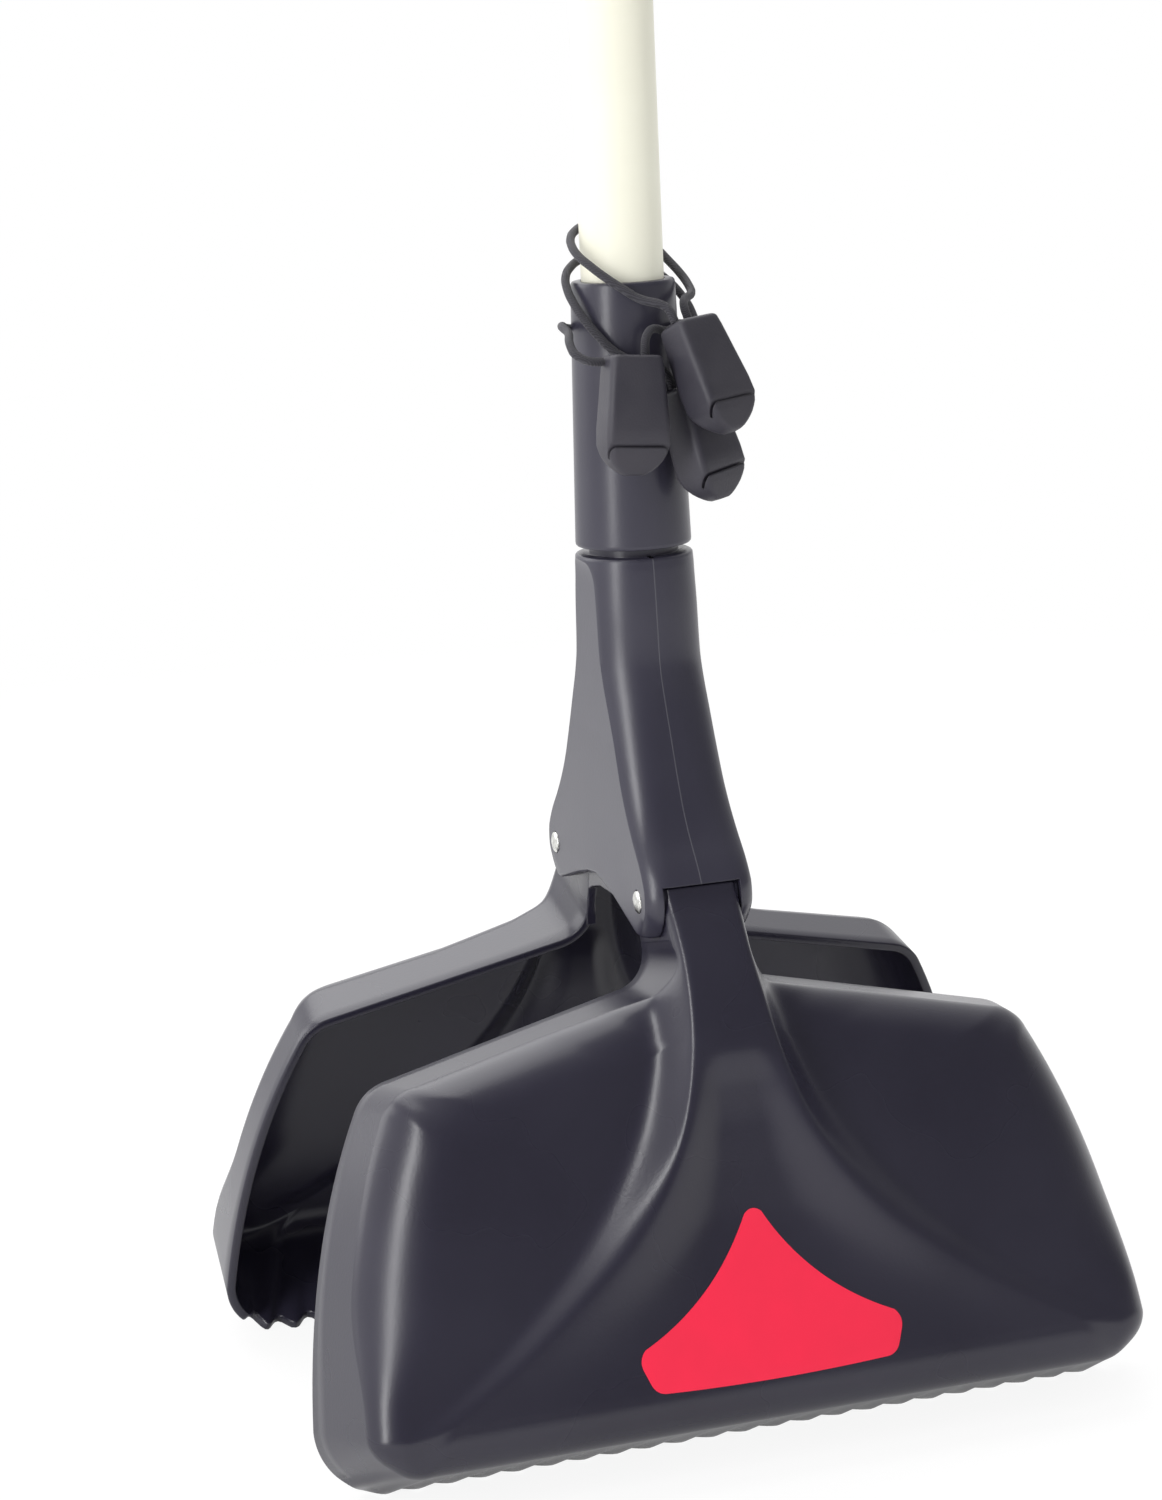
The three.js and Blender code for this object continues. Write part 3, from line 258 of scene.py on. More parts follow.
# finishes
plasticLook = {
    # the jaws' copy of the black plastic has a darker base colour: painted shade
    "jaw": {"colour": (0.019, 0.0172, 0.031), "dusty": (0.024, 0.022, 0.038), "rough": (0.25, 0.31)},
    # the yoke's copy, also used on the collar, has a lighter base colour: painted light
    "yoke": {"colour": (0.032, 0.03, 0.048), "dusty": (0.04, 0.038, 0.057), "rough": (0.28, 0.34)},
    "grip": {"colour": (0.022, 0.0205, 0.034), "dusty": (0.028, 0.0265, 0.041), "rough": (0.42, 0.5)},
    "cloud": (16, 3), "grain": (1300, 2, 0.00006, 0.35), "edge": 0.0005,
    "speckScale": 60, "speckEdge": (0.008, 0.016), "speckColour": (0.3, 0.3, 0.3),
}
partingLook = {
    "core": 0.00006, "width": 0.00022, "inner": 0.012, "share": 0.2, "colour": (0.3, 0.3, 0.32), "bump": (0.0001, 0.7),
}
rubberLook = {
    "colour": (0.03, 0.028, 0.04), "dusty": (0.046, 0.043, 0.055), "rough": (0.5, 0.64), "cloud": (60, 4),
    "contrast": (0.3, 0.72), "edge": 0.0005, "grain": (1500, 3, 0.00012, 0.5), "swell": (0.0006, 0.3),
}
elasticLook = {
    "colour": (0.02, 0.019, 0.026), "dusty": (0.05, 0.048, 0.06), "rough": 0.78, "sheen": 0.15,
    "weave": {"Scale": 900, "Distortion": 1.5, "Detail": 1.0}, "bump": (0.00015, 0.7),
}
poleLook = {
    "colour": (0.94, 0.93, 0.79), "dusty": (0.92, 0.9, 0.76), "rough": (0.4, 0.5), "shine": 0.3, "cloud": (22, 3),
    "grain": (420, 2, 0.00003, 0.4),
}
steelLook = {
    "colour": (0.72, 0.72, 0.69), "dusty": (0.5, 0.5, 0.48), "rough": (0.2, 0.36), "metal": 1.0, "cloud": (700, 4),
    "edge": 0.0002, "swell": (0.00004, 0.4),
}
labelLook = {
    "colour": (1.0, 0.018, 0.07), "dusty": (0.95, 0.015, 0.063), "rough": (0.32, 0.42), "cloud": (45, 3),
    "grain": (260, 2, 0.00003, 0.5),
}
evenContrast = (0.35, 0.65)  # the part of a noise that a colour or roughness runs over


def newMaterial(name):
    material = bpy.data.materials.new(name)
    material.use_nodes = True
    tree = material.node_tree
    return material, tree, tree.nodes["Principled BSDF"], tree.nodes.new("ShaderNodeTexCoord").outputs["Object"]


def addNode(tree, kind, **inputs):
    node = tree.nodes.new(kind)
    for key, value in inputs.items():
        node.inputs[key].default_value = value
    return node


def cloudFor(tree, place, scale, detail):
    cloud = addNode(tree, "ShaderNodeTexNoise", Scale=scale, Detail=detail)
    tree.links.new(place, cloud.inputs["Vector"])
    return cloud.outputs["Fac"]


def spread(tree, value, low, high, fromLow=evenContrast[0], fromHigh=evenContrast[1]):
    settings = {"From Min": fromLow, "From Max": fromHigh, "To Min": low, "To Max": high}
    span = addNode(tree, "ShaderNodeMapRange", **settings)
    tree.links.new(value, span.inputs["Value"])
    return span.outputs["Result"]


def blendColours(tree, factor, first, second):
    blend = tree.nodes.new("ShaderNodeMix")
    blend.data_type = "RGBA"
    tree.links.new(factor, blend.inputs[0])
    for socket, colour in ((blend.inputs[6], first), (blend.inputs[7], second)):
        if isinstance(colour, tuple):
            socket.default_value = (*colour, 1)
        else:
            tree.links.new(colour, socket)
    return blend.outputs[2]


def bumpFrom(tree, height, depth, strength, under=None):
    bump = addNode(tree, "ShaderNodeBump", Strength=strength, Distance=depth)
    tree.links.new(height, bump.inputs["Height"])
    if under is not None:
        tree.links.new(under, bump.inputs["Normal"])
    return bump.outputs["Normal"]


def grained(tree, place, grain, under=None):
    scale, detail, depth, strength = grain
    return bumpFrom(tree, cloudFor(tree, place, scale, detail), depth, strength, under)


def softEdges(tree, radius):
    edges = addNode(tree, "ShaderNodeBevel", Radius=radius)
    edges.samples = 6
    return edges.outputs["Normal"]


def mathNode(tree, operation, first, second=None):
    node = tree.nodes.new("ShaderNodeMath")
    node.operation = operation
    for socket, value in zip(node.inputs, (first, second)):
        if isinstance(value, (int, float)):
            socket.default_value = value
        elif value is not None:
            tree.links.new(value, socket)
    return node.outputs[0]


def dressed(tree, shader, colour, normal, rough=None):
    for key, value in (("Base Color", colour), ("Normal", normal), ("Roughness", rough)):
        if value is not None:
            tree.links.new(value, shader.inputs[key])


def partingLine(tree, place, colour, normal):
    # the mould's line down the middle of the front and back
    look = partingLook
    split = tree.nodes.new("ShaderNodeSeparateXYZ")
    tree.links.new(place, split.inputs["Vector"])
    line = spread(tree, mathNode(tree, "ABSOLUTE", split.outputs["X"]), 1, 0, look["core"], look["width"])
    outside = mathNode(tree, "GREATER_THAN", mathNode(tree, "ABSOLUTE", split.outputs["Y"]), look["inner"])
    line = mathNode(tree, "MULTIPLY", line, outside)
    colour = blendColours(tree, mathNode(tree, "MULTIPLY", line, look["share"]), colour, look["colour"])
    return colour, bumpFrom(tree, line, *look["bump"], normal)


def mouldedPlastic(name, look, parted=False):
    material, tree, shader, place = newMaterial(name)
    cloud = cloudFor(tree, place, *plasticLook["cloud"])
    colour = blendColours(tree, spread(tree, cloud, 0, 1), look["colour"], look["dusty"])
    specks = addNode(tree, "ShaderNodeTexVoronoi", Scale=plasticLook["speckScale"])  # a few dust specks
    tree.links.new(place, specks.inputs["Vector"])
    speck = spread(tree, specks.outputs["Distance"], 1, 0, *plasticLook["speckEdge"])
    colour = blendColours(tree, speck, colour, plasticLook["speckColour"])
    normal = grained(tree, place, plasticLook["grain"], softEdges(tree, plasticLook["edge"]))
    if parted:
        colour, normal = partingLine(tree, place, colour, normal)
    dressed(tree, shader, colour, normal, spread(tree, cloud, *look["rough"]))
    return material


def mottled(name, look):
    # a cloudy colour and roughness over a fine grain, as the look asks for
    material, tree, shader, place = newMaterial(name)
    cloud = cloudFor(tree, place, *look["cloud"])
    share = spread(tree, cloud, 0, 1, *look.get("contrast", evenContrast))
    normal = softEdges(tree, look["edge"]) if "edge" in look else None
    if "grain" in look:
        normal = grained(tree, place, look["grain"], normal)
    if "swell" in look:
        normal = bumpFrom(tree, cloud, *look["swell"], normal)
    for key, part in (("Metallic", "metal"), ("Specular IOR Level", "shine")):
        if part in look:
            shader.inputs[key].default_value = look[part]
    colour = blendColours(tree, share, look["colour"], look["dusty"])
    dressed(tree, shader, colour, normal, spread(tree, cloud, *look["rough"]))
    return material


def braidedElastic(name, look):
    material, tree, shader, place = newMaterial(name)
    weave = addNode(tree, "ShaderNodeTexWave", **look["weave"])
    weave.bands_direction = "DIAGONAL"
    tree.links.new(place, weave.inputs["Vector"])
    shader.inputs["Roughness"].default_value = look["rough"]
    shader.inputs["Sheen Weight"].default_value = look["sheen"]
    threads = weave.outputs["Fac"]
    colour = blendColours(tree, threads, look["colour"], look["dusty"])
    dressed(tree, shader, colour, bumpFrom(tree, threads, *look["bump"]))
    return material


# one black plastic in lit and shaded copies: the jaws' darker base colour is painted shade, the yoke's and collar's
# lighter base colour is painted light
jawPlasticPaintedShade = mouldedPlastic("jawPlasticPaintedShade", plasticLook["jaw"])
yokePlasticPaintedLight = mouldedPlastic("yokePlasticPaintedLight", plasticLook["yoke"], parted=True)
collarPlasticPaintedLight = mouldedPlastic("collarPlasticPaintedLight", plasticLook["yoke"])
gripPlastic = mouldedPlastic("gripPlastic", plasticLook["grip"])
clipRubber = mottled("clipRubber", rubberLook)
loopElastic = braidedElastic("loopElastic", elasticLook)
creamPaint = mottled("creamPaint", poleLook)
brightZinc = mottled("brightZinc", steelLook)
redFilm = mottled("redFilm", labelLook)
print("finishes ready")


def finished(piece, material, body, slotName, *nodeNames):
    piece.data.materials.clear()
    piece.data.materials.append(material)
    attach(piece, body)
    if nodeNames:
        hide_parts(*nodeNames)
    return piece


# bag clips and their elastic loops
collarFoot = 231.531  # height that the clips' places are measured from
elasticSize = {"diameter": 2.3, "roundness": 5, "steps": 10}
clipSize = {
    "height": 23, "chin": 8, "topWidth": 14.5, "bottomWidth": 17.4, "topDepth": 10, "bottomDepth": 11.5,
    "rounding": 2, "slit": 0.7, "slitReach": 5.4, "slitStart": -4, "slitLean": math.pi / 4, "topRounding": 1.4,
    "chinStart": 0.82, "topSteps": 5, "topTaper": 0.4, "bodySteps": 8, "cornerSteps": 7, "sharpFrom": 50,
}
chinRows = [  # share of the way down the chin, then of the width and depth
    (0, 1, 1), (0.04, 0.995, 0.975), (0.15, 0.975, 0.92), (0.3, 0.94, 0.86), (0.45, 0.875, 0.77), (0.6, 0.79, 0.67),
    (0.73, 0.68, 0.58), (0.85, 0.54, 0.5), (0.94, 0.4, 0.43), (1, 0.26, 0.36),
]
clipPlaces = [
    {
        "name": "Front", "node": "front", "at": (-6, -24, 52.7), "turn": 2, "lean": 5, "tip": -8, "long": 0.1141,
        "route": [
            (-13.8, -22.7, 51.5), (-15, -22.8, 51.6), (-16.1, -22.8, 51.7), (-17.6, -22.7, 52),
            (-18.9, -22.1, 52.5), (-19.9, -21.3, 53.2), (-20.6, -20.2, 54), (-20.8, -19, 54.9),
            (-20.7, -17, 56.3), (-18.9, -10.5, 58.3), (-18.5, -4.3, 59.3), (-16.6, 2, 59.1), (-13.5, 8.4, 57.9),
            (-7.9, 13.8, 56.9), (0, 15.9, 56.5), (7.9, 13.8, 56.5), (13.5, 8.4, 56.9), (15.7, 2.2, 57.5),
            (15.4, -3.8, 57.9), (13.2, -8.9, 58.1), (9.9, -12.6, 58), (6.4, -15.2, 57.5), (2.9, -17.7, 58.5),
            (1.6, -18.6, 58.6), (0.4, -19.5, 58.2), (-0.6, -20.3, 57.3), (-1.3, -20.9, 56.1),
            (-1.6, -21.3, 54.6), (-1.7, -21.5, 53.5), (-1.8, -21.6, 52.3),
        ],
    },
    {
        "name": "Right", "node": "right", "at": (10.3, -21.3, 60), "turn": 26, "lean": -3, "tip": -26, "long": 0.1115,
        "route": [
            (6.1, -23.8, 60.3), (5.8, -23.4, 61.3), (5.5, -23, 62.3), (5, -22.4, 63.5), (4.3, -21.6, 64.4),
            (3.3, -20.8, 65), (-1.2, -17.4, 66.5), (-5.7, -14.9, 69.7), (-9.1, -12.2, 72.5),
            (-11.7, -8.9, 75.2), (-13.4, -4.8, 77.6), (-13.7, -0.4, 79.9), (-12.6, 3.9, 81.9),
            (-10.1, 7.7, 83.4), (-6.8, 10.6, 84.4), (-2.8, 12.4, 84.8), (1.4, 12.9, 84.4), (5.5, 12.4, 83.1),
            (9.2, 11, 80.7), (12.4, 8.4, 77.6), (14.9, 4.9, 74), (16.5, 0.8, 70.9), (17, -3.6, 68.3),
            (16.3, -8, 66.3), (12.6, -13.2, 65.2), (11.9, -14.4, 64.7), (11.5, -15.6, 63.9),
            (11.4, -16.5, 62.8), (11.6, -17.2, 61.5), (11.8, -17.6, 60.5), (12.1, -18.1, 59.5),
        ],
    },
    {
        "name": "Low", "node": "low", "at": (10.7, -16.6, 42.9), "turn": 30, "lean": -6, "tip": -15, "long": 0.1222,
        "route": [
            (6.5, -18.6, 42.6), (6.3, -18.4, 43.7), (6, -18.2, 44.8), (5.6, -17.9, 46), (4.8, -17.7, 47.1),
            (3.8, -17.5, 47.8), (2.6, -17.3, 48.3), (-0.6, -16.8, 49.1), (-4.6, -15.6, 50.9),
            (-8.2, -13.9, 53.5), (-11.3, -11.7, 57.3), (-13.9, -9, 61.4), (-15.5, -5.6, 65.4),
            (-15.9, -1.5, 69), (-14.9, 2.5, 72), (-12.3, 6.2, 74.1), (-8.6, 9.5, 75.6), (-4.1, 12, 76.5),
            (0.9, 13.2, 76.4), (5.9, 13.2, 75.2), (10.8, 12, 72.8), (15, 9.2, 69.3), (18, 5, 64.9),
            (19.2, 0.2, 60.3), (18.6, -4.6, 55.7), (16.8, -9, 51.3), (15.1, -10.9, 50.1), (14.4, -11.8, 49.4),
            (14, -12.6, 48.3), (13.8, -13.2, 47.1), (14, -13.6, 45.8), (14.2, -13.8, 44.7), (14.5, -14, 43.6),
        ],
    },
]


def overCollar(point):
    return Vector((point[0], point[1], collarFoot + point[2])) * mm


def elasticLoop(name, route):
    data = bpy.data.curves.new(name, "CURVE")
    data.dimensions = "3D"
    data.bevel_depth = elasticSize["diameter"] / 2 * mm
    data.bevel_resolution = elasticSize["roundness"]
    data.resolution_u = elasticSize["steps"]
    data.use_fill_caps = True
    spline = data.splines.new("BEZIER")
    points = [overCollar(p) for p in route]
    spline.bezier_points.add(len(points) - 1)
    for knot, point in zip(spline.bezier_points, points):
        knot.co = point
        knot.handle_left_type = knot.handle_right_type = "AUTO"
    loop = bpy.data.objects.new(name, data)
    studio.objects.link(loop)
    return loop


def sectionRing(width, depth, radius, z):
    ring, steps = [], clipSize["cornerSteps"]
    for sx, sy, quarter in ((1, 1, 0), (-1, 1, 1), (-1, -1, 2), (1, -1, 3)):
        start = quarter * math.pi / 2
        x, y = sx * (width / 2 - radius), sy * (depth / 2 - radius)
        ring += [Vector((p.x, p.y, z)) for p in arcOf(x, y, radius, start, start + math.pi / 2, steps)]
    return ring + [ring[0]]


def clipMesh(name):
    size = clipSize
    top, rounding = size["topRounding"], size["rounding"]
    rows = []
    for angle in quarterTurn(size["topSteps"]):  # the rounded top edge
        inset = top * (1 - math.sin(angle))
        wide, deep = size["topWidth"] - 2 * inset, size["topDepth"] - 2 * inset
        rows.append(sectionRing(wide, deep, rounding - size["topTaper"] * inset, -top * (1 - math.cos(angle))))
    foot = size["chinStart"] * size["height"]
    for t in evenSteps(size["bodySteps"])[1:]:
        z = mix(-top, -foot, t)
        wide = mix(size["topWidth"], size["bottomWidth"], -z / foot)
        rows.append(sectionRing(wide, mix(size["topDepth"], size["bottomDepth"], -z / foot), rounding, z))
    for down, wide, deep in chinRows:
        depth, z = size["bottomDepth"] * deep, -size["height"] - size["chin"] * down
        rows.append(sectionRing(size["bottomWidth"] * wide, depth, min(rounding, depth / 3), z))
    clip = weldPatches(name, [rows], [rows[0][:-1], rows[-1][:-1]])
    half = size["bottomWidth"]
    slit = levelBlock(-half, half, size["slitStart"], size["slitReach"], -size["slit"] / 2, size["slit"] / 2)
    lean = Matrix.Rotation(-size["slitLean"], 4, "X")
    slit.data.transform(movedTo(0, -size["bottomDepth"] / 2, -size["height"]) @ lean)
    shaped(clip, [slit])
    softShade(clip, size["sharpFrom"])
    return clip


for settings in clipPlaces:
    clip = clipMesh("bagClip" + settings["name"])
    place = Matrix.Translation(overCollar(settings["at"]))
    for way, axis in (("turn", "Z"), ("lean", "Y"), ("tip", "X")):
        place = place @ Matrix.Rotation(math.radians(settings[way]), 4, axis)
    clip.data.transform(place)
    finished(clip, clipRubber, "pole", "soft_black", "clip_" + settings["node"])
    loop = elasticLoop("elasticLoop" + settings["name"], settings["route"])
    finished(loop, loopElastic, "pole", "elastic", "elastic_" + settings["node"])
print("clips and elastic loops hung")


# the jaws; a jaw's own frame has its hinge at the origin and its rim plane towards the other jaw
hinge = {"height": 142.031, "offset": 36.4, "bore": 3.15, "boreReach": 14}
jaw = {
    "drop": 143.2, "halfWidth": 116.2, "rim": 16.9, "wall": 2.6, "tilt": math.radians(15.7),
    "shoulderDrop": 18.3, "shoulderSlope": math.radians(13.2), "shoulderHalf": 91.1, "shoulderRadius": 13,
    "lowerCorner": 18, "draft": {"front": math.radians(14), "back": math.radians(4)}, "crease": math.radians(13),
    "panelTop": 7, "panelBottom": 22.05, "sink": 0.3, "ridge": 22.8, "ridgeSteps": 24,
    "field": 4.6, "flankSkin": 0.7, "flank": 40,
    "crest": (0.9, 1.5), "lip": 0.5, "bulge": (0.955, 0.55), "footHalf": 0.988, "aims": (0.19, 0.45, 0.55, 0.855),
    "cornerSteps": 28, "wallSteps": (0, 0.25, 0.5, 0.75, 0.97), "roundSteps": 10, "flankSteps": 22,
    "lowerRounding": (0.62, 0.22), "draftTurn": (-0.8, 0.5), "fieldBlend": (0.3, 0.7), "crestBlend": (0.2, 0.4),
    "fallBlend": (0.3, 0.4), "footZone": (40, 0.6), "leastRounding": 0.4, "fullest": 0.97, "crowding": 1.8,
    "lipRows": ((0, 0), (0.06, 0.68), (0.2, 1), (0.8, 1), (0.94, 0.68), (1, 0)), "sharpFrom": 42,
}
rimSteps = {"over": 5, "neck": 5, "fillet": 16, "top": 28, "shoulder": 14, "side": 20}  # from the arm's top down
arm = {
    "half": 10.4, "edge": 1.6, "fillet": 10, "over": 12, "top": 2.2, "endRadius": 8.2, "endReach": 24, "endSteps": 24,
}
teeth = {"pitch": 9, "depth": 4.4, "half": 94.5, "steps": 8, "pick": 4, "cornerTeeth": 2}
horn = {
    "front": (4.9, 7.5), "back": (7.8, 10.35), "radius": 5.2, "lift": -1.34, "close": math.radians(23.4),
    "travel": 15.07, "slot": 2.45, "rootDrop": 22, "root": (15, 11),
    "under": ((0.7, 1.15), (0.5, 1.5), (0.4, 1.8), (0.35, 2.6)), "footShare": 0.33, "rootFrom": 1, "rootShy": 0.05,
    "steps": {"end": 14, "tip": 20, "slot": 12, "root": 24, "path": 4},
}
ridgeRows = [  # shares of the way down, of the width and of the depth
    (-0.09, 0.0755, 0.4035), (0, 0.0755, 0.4035), (0.05, 0.0765, 0.53), (0.12, 0.08, 0.7), (0.19, 0.088, 0.84),
    (0.265, 0.1, 0.935), (0.35, 0.122, 0.985), (0.43, 0.155, 1), (0.52, 0.215, 0.985), (0.61, 0.3, 0.955),
    (0.7, 0.425, 0.935), (0.785, 0.565, 0.93), (0.868, 0.74, 0.94),
]
# shares by the way down, then draft and rounding by the way that the rim faces: -1 is down, 0 sideways, 1 up
flankRows = [(0, 0.16), (0.25, 0.23), (0.42, 0.32), (0.6, 0.37), (0.75, 0.33), (1, 0.3)]
fieldRows = [(0.27, 0), (0.35, 0.62), (0.43, 0.95), (0.58, 1), (0.7, 0.6), (0.8, 0.22), (0.88, 0)]
draftRows = [(-1, 0.85), (-0.5, 1.1), (-0.06, 1), (0.25, 1), (0.55, 0.85), (0.85, 0.6)]
roundRows = [(-1, 11), (-0.06, 24), (0.25, 23), (0.55, 19), (0.85, 16)]


def throughPoints(points, steps):
    # an even, smooth line through points
    def hermite(b, start, c, end, t):
        s, q = t**2, t**3
        return b * (2 * q - 3 * s + 1) + start * (q - 2 * s + t) + c * (3 * s - 2 * q) + end * (q - s)

    ends = [2 * points[0] - points[1]] + points + [2 * points[-1] - points[-2]]
    line = []
    for i in range(len(points) - 1):
        a, b, c, d = ends[i : i + 4]
        before, here, after = [(q - p).length ** 0.5 for p, q in ((a, b), (b, c), (c, d))]
        start = ((b - a) / before - (c - a) / (before + here) + (c - b) / here) * here
        end = ((c - b) / here - (d - b) / (here + after) + (d - c) / after) * here
        line += [hermite(b, start, c, end, t) for t in evenSteps(steps)[:-1]]
    return line + [points[-1]]


ridgeKnots = [(out * jaw["halfWidth"], -down * jaw["drop"], deep * jaw["ridge"]) for down, out, deep in ridgeRows]
ridgeLine = throughPoints([Vector(knot) for knot in ridgeKnots], jaw["ridgeSteps"])
ridgeDrops = [-p.y for p in ridgeLine]


def ridgeAt(height):
    spot = min(len(ridgeLine) - 1, max(1, bisect.bisect_left(ridgeDrops, -height)))
    a, b = ridgeLine[spot - 1], ridgeLine[spot]
    return a.lerp(b, clamped((height - a.y) / (b.y - a.y)))


def faceDepth(across, height, skin):
    # how far the jaw's face stands out from the hinge, with ridges, flanks and the field between them
    down = -height / jaw["drop"]
    ridge, sink = ridgeAt(height), jaw["sink"] * down
    side = abs(across) + jaw["flankSkin"] * skin
    panel = mix(jaw["panelTop"], jaw["panelBottom"], down) - sink
    past = side - ridge.x
    depth = ridge.z - skin - sink
    if past < 0:
        depth -= jaw["field"] * along(fieldRows, down) * (1 - eased(side / ridge.x, *jaw["fieldBlend"]))
    soft = mix(*jaw["crest"], eased(down, *jaw["crestBlend"]))
    past = (past + math.sqrt(past * past + soft * soft)) / 2
    reach = min(1, past / (jaw["flank"] * along(flankRows, down)))
    fall = mix((1 - reach) ** 2, 1 - smooth(reach), eased(down, *jaw["fallBlend"]))
    return depth - max(0, ridge.z - sink - panel) * (1 - fall)


def jawStations():
    # the rim's right side from the arm's top to the lower corner
    stations = []

    def add(points, ridgeFrom, ridgeTo, roundFrom, roundTo, onArm=False):
        for i, point in enumerate(points):
            t = i / (len(points) - 1) if len(points) > 1 else 0
            aim = -jaw["drop"] * mix(ridgeFrom, ridgeTo, t)
            stations.append((Vector(point), aim, mix(roundFrom, roundTo, t), onArm))

    def edgeHeight(x):
        return -jaw["shoulderDrop"] - x * math.tan(jaw["shoulderSlope"])

    slope, drop, shoulder, radius = jaw["shoulderSlope"], jaw["drop"], jaw["shoulderHalf"], jaw["shoulderRadius"]
    aimArm, aimShoulder, aimSide, aimFoot = jaw["aims"]
    filletX = arm["half"] + arm["fillet"]
    filletY = edgeHeight(filletX) + arm["fillet"] / math.cos(slope)
    corner = Vector((shoulder, edgeHeight(shoulder)))
    bulge = Vector((jaw["bulge"][0] * jaw["halfWidth"], -jaw["bulge"][1] * drop))
    sideWay = (bulge - corner).normalized()
    topWay = Vector((math.cos(slope), -math.sin(slope)))
    turn = math.acos(topWay.dot(sideWay))
    cut = radius * math.tan(turn / 2)
    arcStart, arcEnd = corner - topWay * cut, corner + sideWay * cut
    centre = arcStart - Vector((-topWay.y, topWay.x)) * radius
    startAngle = math.pi / 2 - slope
    sideEnd = Vector((jaw["footHalf"] * jaw["halfWidth"], -drop + jaw["lowerCorner"]))
    fillet = arcOf(filletX, filletY, arm["fillet"], math.pi, 1.5 * math.pi - slope, rimSteps["fillet"])
    ridgeAtArm = -filletY / drop
    half, over, neckSteps = arm["half"], arm["over"], rimSteps["neck"]
    add([(half, over * (1 - t)) for t in evenSteps(rimSteps["over"])], -over / drop, 0, 0, 0, True)
    neck = [(half, filletY * i / neckSteps) for i in range(1, neckSteps)]
    add(neck, 0.2 * ridgeAtArm, 0.8 * ridgeAtArm, 0, 0, True)
    add(fillet, ridgeAtArm, aimArm, 0, 0.5, True)
    for t in evenSteps(rimSteps["top"])[1:-1]:
        add([fillet[-1].lerp(arcStart, t)], mix(aimArm, aimShoulder, t), 0, min(1, 0.5 + t), 0)
    shoulderArc = arcOf(centre.x, centre.y, radius, startAngle, startAngle - turn, rimSteps["shoulder"])
    add(shoulderArc, aimShoulder, aimSide, 1, 1)
    for t in evenSteps(rimSteps["side"])[1:-1]:
        point = arcEnd * (1 - t) ** 2 + bulge * (2 * t * (1 - t)) + sideEnd * t * t
        add([point], mix(aimSide, aimFoot, t), 0, 1, 0)
    low = jaw["lowerCorner"]
    lowerArc = arcOf(sideEnd.x - low, sideEnd.y, low, 0, -math.pi / 2, jaw["cornerSteps"])
    add(lowerArc, aimFoot, aimFoot, 1, 1)
    return stations


def rimDistance(rim, x, y):
    # how far a point is in from the rim line, seen from the front
    x, low, (high, wide) = abs(x), y + jaw["drop"], jaw["footZone"]
    if low < high and x < wide * jaw["halfWidth"]:  # near the foot's middle only the foot counts
        return low
    best = low * low
    for (ax, ay), (wx, wy), long in rim:
        t = ((x - ax) * wx + (y - ay) * wy) / long
        t = 0 if t < 0 else 1 if t > 1 else t
        dx, dy = x - ax - wx * t, y - ay - wy * t
        best = min(best, dx * dx + dy * dy)
    return math.sqrt(best)


def notchAt(x):
    # how deep the rim is cut between the teeth, which run on round the lower corners
    if abs(x) > teeth["half"] + teeth["cornerTeeth"] * teeth["pitch"]:
        return 0
    return teeth["depth"] * (1 - math.cos(2 * math.pi * (x - teeth["half"]) / teeth["pitch"])) / 2


